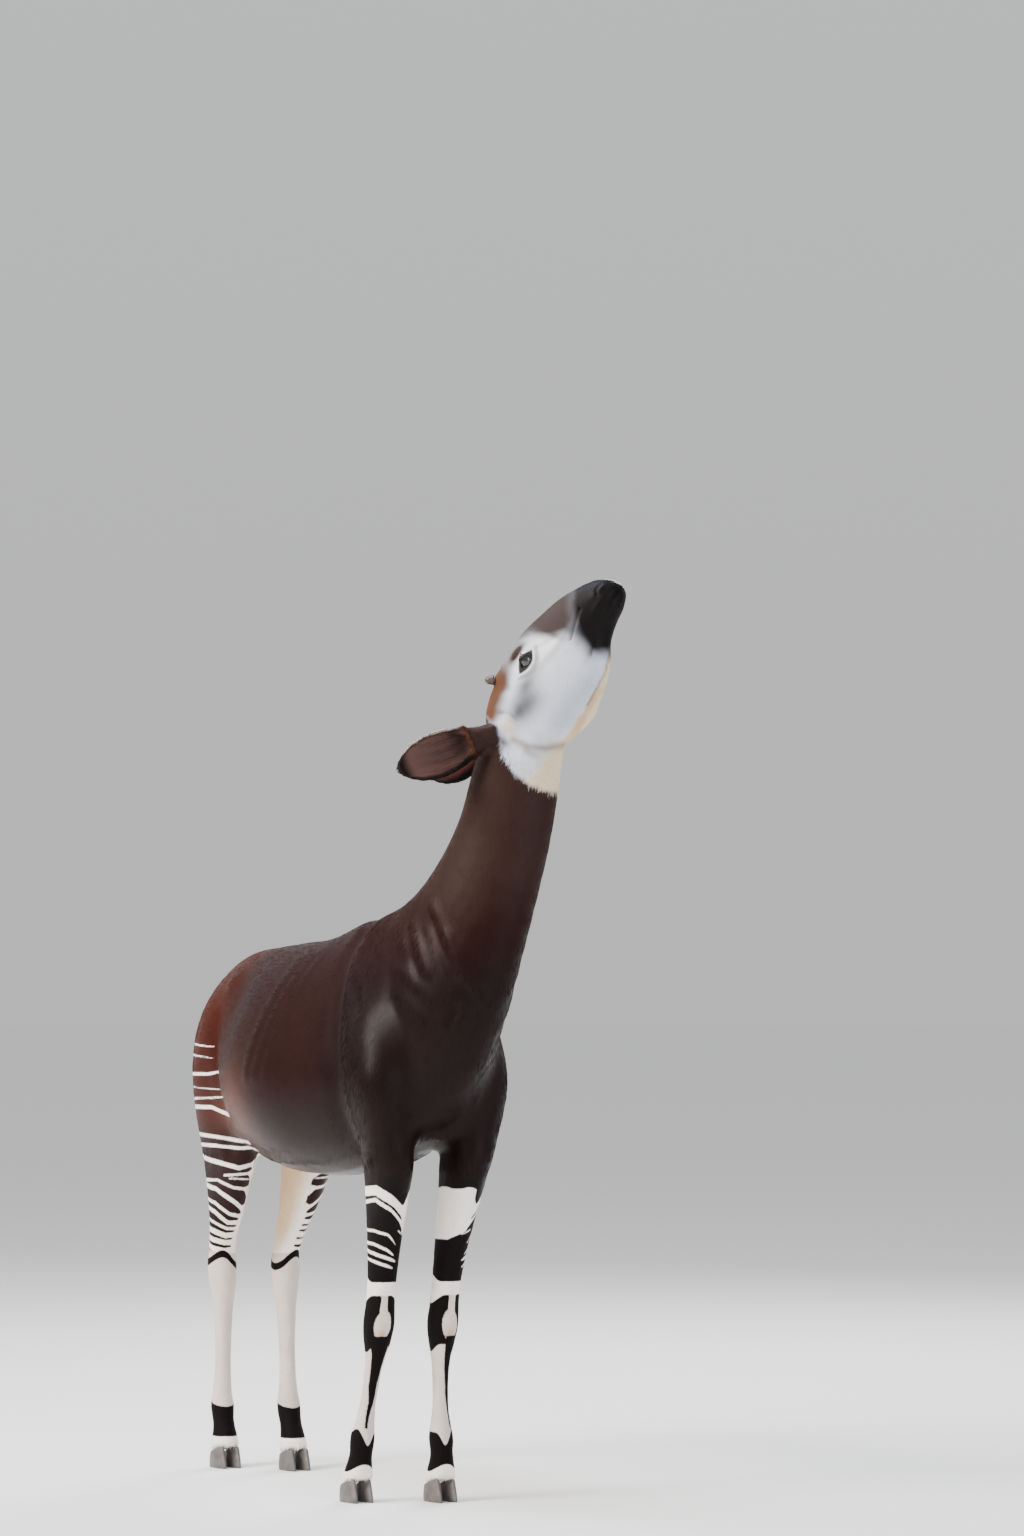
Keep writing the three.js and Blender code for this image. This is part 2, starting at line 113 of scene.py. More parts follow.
class OkapiSizes(bpy.types.PropertyGroup):
    """Sizes of the skin and of what grows from it."""

    voxel: length_prop("Skin grain", "Edge of the cells that the skin is first made of", 10.5)
    ear_voxel: length_prop("Ear grain", "Edge of the cells of an ear", 2.6)
    hoof_voxel: length_prop("Hoof grain", "Edge of the cells of a claw", 3.0)
    knob_voxel: length_prop("Ossicone grain", "Edge of the cells of an ossicone", 1.8)
    coat_depth: length_prop("Coat depth", "How far the skin lies inside the solids", 2.0)
    lid: length_prop("Lid thickness", "How far the lids stand out from the eyeball", 2.6)
    eye_long: length_prop("Eye opening length", "Half length of the opening between the lids", 19.0)
    eye_high: length_prop("Eye opening height", "Half height of the opening between the lids", 13.0)


class OkapiColours(bpy.types.PropertyGroup):
    """Colours of the coat and of its markings."""

    body: colour_prop("Body", "Dark chocolate of the trunk", "#1e0b07")
    rump: colour_prop("Rump", "Redder brown of the rump and thighs", "#381409")
    flank: colour_prop("Flank", "Tan brown of the groin and rear flank", "#5f3a30")
    # The neck's own brown, also painted as shade in the fold behind the jaw.
    neck: colour_prop("Neck", "Greyer brown of the neck", "#2a1b17")
    # The breast's own near black, also painted as shade under the belly.
    breast_and_belly_shade: colour_prop("Breast", "Near black of the breast and shoulders", "#150a09")
    cheek: colour_prop("Cheek", "Cool pale grey of the cheeks", "#c3c8d2")
    # Also painted as shade round the eyes, over the cheeks and behind the jaw.
    soft: colour_prop("Face shade", "Soft grey brown between cheek and brow", "#4e4e50")
    jaw: colour_prop("Jaw", "Cream under the jaw and on the throat", "#cdbb98")
    brow: colour_prop("Brow", "Orange brown of the forehead and poll", "#533726")
    # The muzzle's own near black, also painted as shade in the face's creases and deep in an ear's cup.
    nose: colour_prop("Nose bridge", "Grey brown of the bridge of the nose", "#30241f")
    muzzle: colour_prop("Muzzle", "Near black of lips and muzzle", "#0e0a0a")
    white: colour_prop("White marks", "Bands and stripes of the legs", "#efe7de")
    shank: colour_prop("Shanks", "Pale grey cream of the lower legs", "#c9bcb2")
    cream: colour_prop("Inner thigh", "Warm cream of the inner thighs", "#d2b897")
    # The hocks' and knees' own tan, also painted as shadow along the jaw and behind it.
    tan: colour_prop("Hock", "Tan of the hocks and worn knees", "#a98668")
    dark: colour_prop("Dark marks", "Black brown bands of the legs", "#0b0606")
    ear_back: colour_prop("Ear back", "Brown outside of an ear", "#3a1d17")
    ear_cup: colour_prop("Ear cup", "Pink brown inside of an ear", "#5a413b")
    ear_rim: colour_prop("Ear rim", "Pale fringe of the upper rim", "#a99a90")


def sizes():
    return bpy.context.scene.okapi_sizes


def colours():
    return bpy.context.scene.okapi_colours


def shade(name):
    return np.array(getattr(colours(), name)[:3])


def smooth(low, high, value):
    t = np.clip((value - low) / (high - low), 0, 1)
    return t * t * (3 - 2 * t)


def inside_band(value, low, high, soft):
    return smooth(low - soft, low + soft, value) * (1 - smooth(high - soft, high + soft, value))


def on_head(points):
    """Points of the row frame in the head's frame, in millimetres."""
    return (points - HEAD_TIP) @ HEAD_AXES * 1000


def from_head(points):
    """Points of the head's frame, in millimetres, in the row frame."""
    return points / 1000 @ HEAD_AXES.T + HEAD_TIP


def on_body(points):
    """Points of the row frame in the body's own frame, in millimetres."""
    return (points + np.array(BODY_SHIFT)) * 1000


def read(mesh, what="co"):
    source = mesh.vertices if what == "co" else mesh.vertex_normals
    out = np.empty(len(source) * 3)
    source.foreach_get("co" if what == "co" else "vector", out)
    return out.reshape(-1, 3)


def write(mesh, points):
    mesh.vertices.foreach_set("co", points.ravel())
    mesh.update()


def edges_of(mesh):
    out = np.empty(len(mesh.edges) * 2, dtype=np.int64)
    mesh.edges.foreach_get("vertices", out)
    return out.reshape(-1, 2)


def relax(points, edges, strength, rounds, keep=True):
    """Smooths points along their edges, and keeps the volume if asked."""
    a, b = edges[:, 0], edges[:, 1]
    count = np.bincount(a, minlength=len(points)) + np.bincount(b, minlength=len(points))
    count = np.maximum(count, 1)[:, None]
    for i in range(rounds * (2 if keep else 1)):
        total = np.empty_like(points)
        for axis in range(3):
            one = np.bincount(a, weights=points[b, axis], minlength=len(points))
            two = np.bincount(b, weights=points[a, axis], minlength=len(points))
            total[:, axis] = one + two
        step = -0.52 if keep and i % 2 else 0.5
        points = points + (total / count - points) * step * strength
    return points


def set_attribute(mesh, name, values):
    kind = "FLOAT_COLOR" if values.ndim == 2 else "FLOAT"
    layer = mesh.attributes.new(name, kind, "POINT")
    if values.ndim == 2:
        full = np.concatenate([values, np.ones((len(values), 1))], axis=1)
        layer.data.foreach_set("color", full.ravel())
    else:
        layer.data.foreach_set("value", values)


def made_mesh(bm, name):
    mesh = bpy.data.meshes.new(name)
    bm.to_mesh(mesh)
    bm.free()
    return mesh


def joined_copy(nodes, grow=0.0004):
    """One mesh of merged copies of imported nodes, each swollen a hair so that the cuts between them close."""
    bm = bmesh.new()
    for node in nodes:
        part = bmesh.new()
        part.from_mesh(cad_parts[node].data)
        bmesh.ops.remove_doubles(part, verts=part.verts, dist=1e-5)
        part.normal_update()
        for v in part.verts:
            v.co += v.normal * grow
        mesh = made_mesh(part, "part")
        bm.from_mesh(mesh)
        bpy.data.meshes.remove(mesh)
    return made_mesh(bm, "joined")


def remeshed(mesh, voxel):
    """The outer surface of a mesh in even cells, with any loose scrap dropped."""
    holder = bpy.data.objects.new("holder", mesh)
    bpy.context.collection.objects.link(holder)
    modifier = holder.modifiers.new("cells", "REMESH")
    modifier.mode = "VOXEL"
    modifier.voxel_size = voxel
    graph = bpy.context.evaluated_depsgraph_get()
    made = bpy.data.meshes.new_from_object(holder.evaluated_get(graph))
    bpy.data.objects.remove(holder)
    bm = bmesh.new()
    bm.from_mesh(made)
    left = set(bm.verts)
    best = set()
    while left:
        island = {left.pop()}
        front = list(island)
        while front:
            for edge in front.pop().link_edges:
                for v in edge.verts:
                    if v not in island:
                        island.add(v)
                        front.append(v)
        left -= island
        if len(island) > len(best):
            best = island
    bmesh.ops.delete(bm, geom=[v for v in bm.verts if v not in best], context="VERTS")
    bm.to_mesh(made)
    bm.free()
    return made


def refine(mesh, wanted):
    """Halves the cells whose vertices are all wanted, given as a mask over the vertices."""
    bm = bmesh.new()
    bm.from_mesh(mesh)
    bm.verts.ensure_lookup_table()
    edges = [e for e in bm.edges if wanted[e.verts[0].index] and wanted[e.verts[1].index]]
    bmesh.ops.subdivide_edges(bm, edges=edges, cuts=1, use_grid_fill=True)
    big = [f for f in bm.faces if len(f.verts) > 4]
    bmesh.ops.triangulate(bm, faces=big)
    bm.to_mesh(mesh)
    bm.free()


def piece(name, mesh, material, body="root"):
    made = bpy.data.objects.new(name, mesh)
    bpy.context.collection.objects.link(made)
    mesh.materials.clear()
    mesh.materials.append(material)
    mesh.polygons.foreach_set("use_smooth", [True] * len(mesh.polygons))
    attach(made, body)
    return made


class Nodes:
    """A material's node tree, to which one call adds a node with its settings and links."""

    def __init__(self, name):
        self.material = bpy.data.materials.new(name)
        self.material.use_nodes = True
        self.tree = self.material.node_tree
        self.shader = self.tree.nodes["Principled BSDF"]

    def add(self, kind, settings=None, **links):
        node = self.tree.nodes.new(kind)
        for key, value in (settings or {}).items():
            if isinstance(key, int) or key[0].isupper():
                node.inputs[key].default_value = value
            else:
                setattr(node, key, value)
        for key, source in links.items():
            socket = node.inputs[int(key[1:]) if key[1:].isdigit() else key]
            self.tree.links.new(source, socket)
        return node

    def attribute(self, name, output="Fac"):
        return self.add("ShaderNodeAttribute", {"attribute_name": name}).outputs[output]

    def place(self):
        return self.add("ShaderNodeTexCoord").outputs["Object"]

    def math(self, operation, first, second=0.0, third=None):
        node = self.tree.nodes.new("ShaderNodeMath")
        node.operation = operation
        for i, value in enumerate((first, second) if third is None else (first, second, third)):
            if isinstance(value, (int, float)):
                node.inputs[i].default_value = value
            else:
                self.tree.links.new(value, node.inputs[i])
        return node.outputs[0]

    def link(self, source, socket):
        self.tree.links.new(source, self.shader.inputs[socket])


# Short hair lies flat and glossy, so its light breaks along streaks. A hair of 0.1 mm is too fine to show
# here, so the streaks are drawn as locks about 1.1 mm wide, nine times as long as wide.
HAIR_WIDTH = 1.1
HAIR_STRETCH = 9
FRAY_WIDTH = 6.0
MOTTLE_WIDTH = 70.0
WANDER_WIDTH = 110.0
BLEND_STEEP = 3.6
FRAY = 0.34
WANDER = 0.24


def noise(n, width, detail, place):
    """Noise whose grains are about a width in millimetres."""
    made = n.add("ShaderNodeTexNoise", {"Scale": 1000 / width, "Detail": detail}, Vector=place)
    return made.outputs["Fac"]


def coat_colour(n, place):
    """The ground colour with its white and dark marks, whose edges wander and fray along the hair."""
    base = n.attribute("ground", "Color")
    wander = noise(n, WANDER_WIDTH, 2.0, place)
    fray = noise(n, FRAY_WIDTH, 3.0, place)
    ragged = n.math("MULTIPLY_ADD", n.math("SUBTRACT", fray, 0.5), FRAY, 0.0)
    ragged = n.math("MULTIPLY_ADD", n.math("SUBTRACT", wander, 0.5), WANDER, ragged)
    pale = n.attribute("pale", "Color")
    for field in ("white_edge", "dark_edge"):
        edge = n.attribute(field)
        share = n.math("MULTIPLY_ADD", n.math("ADD", edge, ragged), BLEND_STEEP, 0.5)
        share = n.add("ShaderNodeClamp", Value=share).outputs[0]
        mixed = n.add("ShaderNodeMix", {"data_type": "RGBA", 7: colours().dark}, i0=share, i6=base)
        if field == "white_edge":
            n.tree.links.new(pale, mixed.inputs[7])
        base = mixed.outputs[2]
    return base


def coat_material(name="short_okapi_hair"):
    """Short okapi hair: grown, and licked flat, which gives fine streaks and a soft broad gloss."""
    n = Nodes(name)
    place = n.place()
    lie = n.attribute("lie", "Vector")
    base = coat_colour(n, place)
    mottle = noise(n, MOTTLE_WIDTH, 4.0, place)
    streak = noise(n, HAIR_WIDTH, 2.0, lie)
    value = n.math("MULTIPLY_ADD", mottle, 0.4, 0.8)
    value = n.math("MULTIPLY", value, n.math("MULTIPLY_ADD", streak, 0.5, 0.75))
    n.link(n.add("ShaderNodeHueSaturation", Color=base, Value=value).outputs[0], "Base Color")
    n.shader.inputs["Specular IOR Level"].default_value = 0.075
    matt = n.attribute("matt")
    rough = n.math("ADD", n.math("MULTIPLY_ADD", streak, 0.16, 0.22), n.math("MULTIPLY", matt, 0.35))
    n.link(n.math("MULTIPLY_ADD", mottle, 0.12, rough), "Roughness")
    bump = n.add("ShaderNodeBump", {"Strength": 0.35, "Distance": 0.0009}, Height=streak)
    n.link(bump.outputs[0], "Normal")
    return n.material


def two_tone(name, colours_hex, scale, detail, roughness, bump=0.0, stretch=(1, 1, 1)):
    """A surface that goes from one colour to another in fine noise, which is also its bump."""
    n = Nodes(name)
    place = n.place()
    place = n.add("ShaderNodeMapping", {"Scale": stretch}, Vector=place).outputs[0]
    fine = n.add("ShaderNodeTexNoise", {"Scale": scale, "Detail": detail}, Vector=place).outputs["Fac"]
    ramp = n.add("ShaderNodeValToRGB", Fac=fine)
    for element, colour in zip(ramp.color_ramp.elements, colours_hex):
        element.color = linear(colour)
    n.link(ramp.outputs[0], "Base Color")
    n.shader.inputs["Roughness"].default_value = roughness
    if bump:
        made = n.add("ShaderNodeBump", {"Strength": bump, "Distance": 0.0006}, Height=fine)
        n.link(made.outputs[0], "Normal")
    return n


LINES = {}


def leg_line(name):
    """Centre and half sizes of a packed leg by height, from its own vertices, in the row frame."""
    if name not in LINES:
        points = read(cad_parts[name].data)
        rows = []
        for height in np.arange(0.06, 0.86, 0.04):
            near = points[np.abs(points[:, 2] - height) < 0.03]
            if len(near) > 5:
                low, high = near.min(axis=0), near.max(axis=0)
                rows.append([height, *((low + high) / 2)[:2], *((high - low) / 2)[:2]])
        LINES[name] = np.array(rows)
    return LINES[name]


# White lines of a leg: half width, first and last angle round the leg, and the height at each of the
# stations, in millimetres and degrees, where 0 is the front of the leg and 90 its outer side.
STATIONS = (-60, -20, 20, 70, 160)
FORE_LINES = [
    (12.5, -60, 150, (780, 755, 785, 810, 800)),
    (5.0, -40, 150, (700, 725, 760, 785, 770)),
    (3.2, -45, 0, (720, 745, 770, 770, 770)),
    (2.6, -40, -10, (685, 700, 720, 720, 720)),
    (3.8, -10, 150, (660, 660, 695, 705, 705)),
    (4.3, -10, 150, (635, 635, 655, 670, 675)),
    (4.4, -20, 145, (625, 625, 635, 645, 660)),
    (3.7, -10, 140, (605, 605, 615, 625, 640)),
]
HIND_LINES = [
    (2.0, 60, 150, (1160, 1160, 1160, 1160, 1170)),
    (1.8, 60, 150, (1130, 1130, 1130, 1130, 1140)),
    (4.0, 40, 160, (1105, 1105, 1105, 1085, 1080)),
    (1.8, 40, 150, (1045, 1045, 1045, 1045, 1050)),
    (3.0, 35, 155, (1030, 1030, 1030, 1020, 1010)),
    (5.5, 20, 165, (965, 965, 965, 995, 990)),
    (5.0, -60, 165, (880, 910, 905, 915, 920)),
    (4.6, -60, 165, (865, 890, 885, 890, 890)),
    (6.5, -30, 165, (845, 840, 830, 845, 865)),
    (3.6, -35, 55, (815, 815, 812, 808, 808)),
    (2.2, -35, 40, (795, 798, 800, 800, 800)),
    (4.0, -35, 150, (750, 770, 775, 795, 790)),
    (6.2, -35, 160, (705, 715, 740, 770, 785)),
    (4.6, -40, 160, (705, 693, 700, 730, 750)),
    (6.0, -40, 160, (690, 675, 675, 705, 730)),
    (4.2, -40, 160, (672, 658, 658, 675, 695)),
    (7.5, -40, 160, (650, 640, 638, 650, 665)),
    (7.0, -60, 160, (630, 618, 618, 625, 640)),
    (7.0, -60, 160, (610, 598, 595, 600, 620)),
]
# Middle and half sizes of the top of a thigh, by height, in the body's own frame, in metres.
THIGH_ROWS = [
    (0.92, -0.405, 0.116, 0.155, 0.072),
    (1.03, -0.415, 0.122, 0.174, 0.080),
    (1.2, -0.435, 0.118, 0.165, 0.078),
]
# Below this angle the white lines of a leg widen and flow together into its pale inner face. The left legs
# wear the same pattern turned outward.
INNER_FROM = -34
TURN = {"foreleg_right": 0, "foreleg_left": 40, "hindleg_right": 0, "hindleg_left": 18}
STRIP_AT = {"foreleg_right": 8, "foreleg_left": 40}
# The forelegs' middle lies to the left of the hind legs', in metres.
FORE_MIDDLE = 0.045


def leg_middle(name):
    return (FORE_MIDDLE if name.startswith("fore") else 0.0) - BODY_SHIFT.y


# No point counts as further outside a mark's edge than this, in centimetres, nor further inside.
FAR_OFF = -4.0


def leg_place(points, name):
    """How far points are ahead and outward of a leg in half sizes, its middle, and the half size outward."""
    side = SIDES[name.split("_")[1]]
    line = leg_line(name)
    if name.startswith("hind"):
        line = line[line[:, 0] < 0.85]
        top = [(z, x - BODY_SHIFT.x, side * y - BODY_SHIFT.y, rx, ry) for z, x, y, rx, ry in THIGH_ROWS]
        line = np.concatenate([line, np.array(top)])
    z = points[:, 2]
    cx, cy, rx, ry = (np.interp(z, line[:, 0], line[:, i]) for i in (1, 2, 3, 4))
    return (points[:, 0] - cx) / rx, (points[:, 1] - cy) * side / ry, cx, ry


def lines_edge(lines, angle, z, ry, grow_above):
    """Signed edge of a set of white lines in centimetres, positive inside."""
    best = np.full(len(z), FAR_OFF)
    for half, first, last, heights in lines:
        taper = smooth(first - 6, first + 30, angle) * 0.6 + 0.4
        grows = half > 3 and min(heights) > grow_above
        wide = half * taper + (26 * smooth(INNER_FROM + 24, INNER_FROM - 20, angle) if grows else 0)
        edge = wide - np.abs(z * 1000 - np.interp(angle, STATIONS, heights))
        past = np.maximum(first - angle, angle - last) * ry * 1000 / RADIAN
        open_end = first < INNER_FROM - 20
        edge = np.minimum(edge, -past if not open_end else edge)
        best = np.maximum(best, edge / 10)
    return best


# Heights of the marks of a foreleg from the ground, in metres, from the patch under the elbow to the hoof.
PATCH_LOW, PATCH_HIGH = 0.679, 0.812
CUFF_HIGH = 0.570
KNEE_LOW, KNEE_HIGH = 0.408, 0.536
STRIP_LOW, STRIP_HIGH = 0.19, 0.43
FETLOCK_LOW, FETLOCK_HIGH = 0.088, 0.180
# Heights of the marks of a hind leg: the dark band at the hock and its width, and the fetlock.
HOCK_LOW, HOCK_WIDE = 0.553, 0.021
HIND_FETLOCK_LOW, HIND_FETLOCK_HIGH = 0.086, 0.176
HIND_WHITE_FROM = 0.586
# Degrees of an arc as long as its radius, and centimetres in a metre.
RADIAN = 57
CM = 100


def fore_marks(name, z, angle, ry):
    """White and dark edges of a foreleg in centimetres."""
    turned = angle - TURN[name]
    white = lines_edge(FORE_LINES, turned, z, ry, 690)
    notch = 0.05 * np.exp(-(((turned + 40) / 14) ** 2)) if TURN[name] == 0 else 0
    high = PATCH_HIGH + 0.003 * np.sin(np.radians(turned * 5)) - notch
    patch = np.minimum(z - PATCH_LOW - 0.00035 * np.maximum(turned + 90, 0), high - z) * CM
    white = np.maximum(white, np.minimum(patch, (-33 + 60 * (z - 0.72) - turned) * ry * CM / RADIAN))
    low_rim = CUFF_HIGH + 0.016 * smooth(60, 120, np.abs(angle - 10))
    knee_top = KNEE_HIGH - 0.022 * smooth(40, 110, np.abs(angle - 20))
    white = np.maximum(white, np.minimum(z - knee_top, low_rim - z) * CM)
    knee = np.minimum(z - KNEE_LOW + 0.02 * smooth(30, 90, np.abs(angle)), knee_top - z) * CM
    neck = np.hypot((angle - 9) / 15, np.maximum(np.abs(z - 0.51) * CM - 2.2, 0))
    spot = np.hypot((angle - 9 + 130 * (z - 0.455)) / 35, (z - 0.457) * CM / 4.0)
    knee = np.minimum(knee, (np.minimum(spot, neck) - 1) * 2.0)
    knee = np.minimum(knee, (angle + 105) * ry * CM / RADIAN)
    at = STRIP_AT[name]
    reach = (26 + 22 * smooth(0.22, 0.42, z)) * (0.35 + 0.65 * smooth(0.19, 0.30, z))
    strip = np.minimum((z - STRIP_LOW) * CM, (STRIP_HIGH - z) * CM)
    strip = np.minimum(strip, (reach - np.abs(angle - at)) * ry * CM / RADIAN)
    notch = 0.034 * np.exp(-(((angle + 4) / 26) ** 2)) - 0.010 * np.exp(-(((angle - 60) / 30) ** 2))
    low = FETLOCK_LOW + 0.010 * np.cos(np.radians(angle * 2))
    fetlock = np.minimum(z - low, FETLOCK_HIGH - notch - z) * CM
    return white, np.maximum.reduce([knee, strip, fetlock])


def hind_marks(name, z, angle, ry, slant):
    """White and dark edges of a hind leg in centimetres."""
    turned = angle - TURN[name]
    white = lines_edge(HIND_LINES, turned, z, ry, 0)
    pale = np.minimum((INNER_FROM - 2 - turned) * ry * CM / RADIAN, (0.93 - z) * CM)
    white = np.maximum(white, pale)
    rear = np.minimum((angle - 168) * ry * CM / RADIAN, (0.80 - z) * CM)
    white = np.maximum(white, rear)
    low = HOCK_LOW + slant
    band = np.minimum(z - low, low + HOCK_WIDE - z) * CM
    high = HIND_FETLOCK_HIGH - 0.01 * np.cos(np.radians(angle))
    fetlock = np.minimum(z - HIND_FETLOCK_LOW, high - z) * CM
    return white, np.maximum(band, fetlock)


def leg_marks(points, marks):
    """White lines, dark bands and pale shanks of the four legs."""
    z = points[:, 2]
    for name in LEGS:
        fore = name.startswith("fore")
        side = SIDES[name.split("_")[1]]
        ahead, outward, cx, ry = leg_place(points, name)
        angle = np.degrees(np.arctan2(outward, ahead))
        mine = (points[:, 1] - leg_middle(name)) * side > -0.02
        mine &= np.abs(points[:, 0] - cx) < (0.17 if fore else 0.27)
        mine &= z < (0.86 if fore else 1.2)
        if fore:
            mine &= np.abs(outward) < 1.7
        else:
            mine &= np.hypot(ahead, outward) < np.interp(z, [0.87, 0.96, 1.06], [3.0, 1.55, 1.32])
        if fore:
            white, dark = fore_marks(name, z, angle, ry)
            tint = [("dark", smooth(0.88, 0.80, z)), ("shank", smooth(0.0, 0.01, 0.55 - z))]
            worn = np.exp(-(((angle - 9) / 20) ** 2) - (((z - 0.43) / 0.02) ** 2))
            tint.append(("tan", worn * 0.8))
        else:
            slant = 0.014 * np.cos(np.radians(angle * 2 - 40)) + 0.012 * smooth(-40, 60, angle)
            white, dark = hind_marks(name, z, angle, ry, slant)
            inner = INNER_FROM + TURN[name]
            inside = smooth(inner + 10, inner - 50, angle) * smooth(0.95, 0.85, z)
            tint = [("dark", smooth(0.98, 0.88, z) * 0.85), ("shank", smooth(0.0, 0.01, 0.60 - z))]
            hock = smooth(0.05, 0.6, -ahead) * inside_band(z, 0.52, 0.60, 0.02)
            tint.append(("tan", hock))
            white = np.where(z < HIND_WHITE_FROM, FAR_OFF, white)
            share = (inside * mine * smooth(0.56, 0.66, z))[:, None]
            marks["pale"] = marks["pale"] * (1 - share) + shade("cream") * share
        for colour, share in tint:
            share = (np.clip(share, 0, 1) * mine)[:, None]
            marks["ground"] = marks["ground"] * (1 - share) + shade(colour) * share
        foot = (FETLOCK_LOW - z) * CM
        white = np.where(z < 0.12, foot + 1.0, white)
        marks["white_edge"] = np.where(mine, np.clip(white, FAR_OFF, -FAR_OFF), marks["white_edge"])
        marks["dark_edge"] = np.where(mine, np.clip(dark, FAR_OFF, -FAR_OFF), marks["dark_edge"])
        marks["matt"] = np.where(mine, smooth(0.9, 0.6, z), marks["matt"])


# Folds of the face on its left side, in the head's frame, and where its jaw ends behind.
NOSE_FOLD = [(-110, 45, 35), (-140, 50, 25), (-185, 55, 10)]
LIP_FOLD = [(-155, 42, -40), (-190, 44, -55)]
CHIN_FOLD = [(-130, 25, -70), (-160, 15, -85), (-210, 20, -105), (-300, 35, -115)]
TEMPLE_FOLD = [(-440, 65, 60), (-425, 75, 30), (-430, 75, 5)]
CHEEK_FOLD = [(-410, 78, -40), (-405, 66, -75), (-395, 40, -105)]
JAW_END = [(-475, 70, -15), (-470, 65, -50), (-450, 50, -90), (-420, 35, -115)]
# Painted shade in the creases of the face: a fold, its width and how dark the shade is.
FACE_CREASE_SHADE = [(NOSE_FOLD, 2.2, 0.8), (LIP_FOLD, 2.2, 0.7), (CHIN_FOLD, 2.4, 0.6), (TEMPLE_FOLD, 2.0, 0.4)]


class Ground:
    """A ground colour at each point, painted over in turn."""

    def __init__(self, count, name):
        self.colour = np.tile(shade(name), (count, 1))

    def paint(self, name, share):
        share = np.clip(share, 0, 1)[:, None]
        self.colour = self.colour * (1 - share) + shade(name) * share


def plain_marks(ground, matt):
    """Marks with no white or dark on their ground, and how dull the hair is."""
    count = len(ground.colour)
    return {
        "ground": ground.colour,
        "white_edge": np.full(count, FAR_OFF),
        "dark_edge": np.full(count, FAR_OFF),
        "pale": np.tile(shade("white"), (count, 1)),
        "matt": matt,
    }


def near_spot(t, n, at, size):
    return np.exp(-(((t - at[0]) / size[0]) ** 2) - (((n - at[1]) / size[1]) ** 2))


# Spots of the face: colour, middle and reach along and up it in millimetres, and share. The first list is
# painted shade from the eye to the ear. Of the others, the patch over the eye and the ear's root are the
# face's own colour, and the last two are painted shade in the fold behind the jaw.
PAINTED_FACE_SHADE = [
    ("soft", (-380, 4), (46, 30), 0.85),
    ("soft", (-408, 14), (28, 18), 0.9),
    ("soft", (-343, 36), (34, 20), 0.75),
    ("soft", (-300, 40), (46, 10), 0.35),
]
FACE_SPOTS = [
    ("nose", (-290, 105), (30, 12), 1.5),
    ("tan", (-455, 15), (20, 24), 0.5),
    ("jaw", (-452, 18), (16, 18), 0.5),
    # Painted shade in the fold behind the jaw, in neck brown and face shade.
    ("neck", (-497, 8), (15, 24), 0.85),
    ("soft", (-478, -62), (12, 30), 0.55),
]


def paint_spots(ground, head, t, n, spots):
    for name, at, size, share in spots:
        ground.paint(name, head * near_spot(t, n, at, size) * share)


def eye_place(t, n):
    """Where a point is over the opening between the lids: along it to the muzzle, and across it upward."""
    tilt = math.radians(LID_TILT)
    t, n = t - EYE_AT.x - LID_AT[0], n - EYE_AT.z - LID_AT[1]
    return t * math.cos(tilt) + n * math.sin(tilt), n * math.cos(tilt) - t * math.sin(tilt)


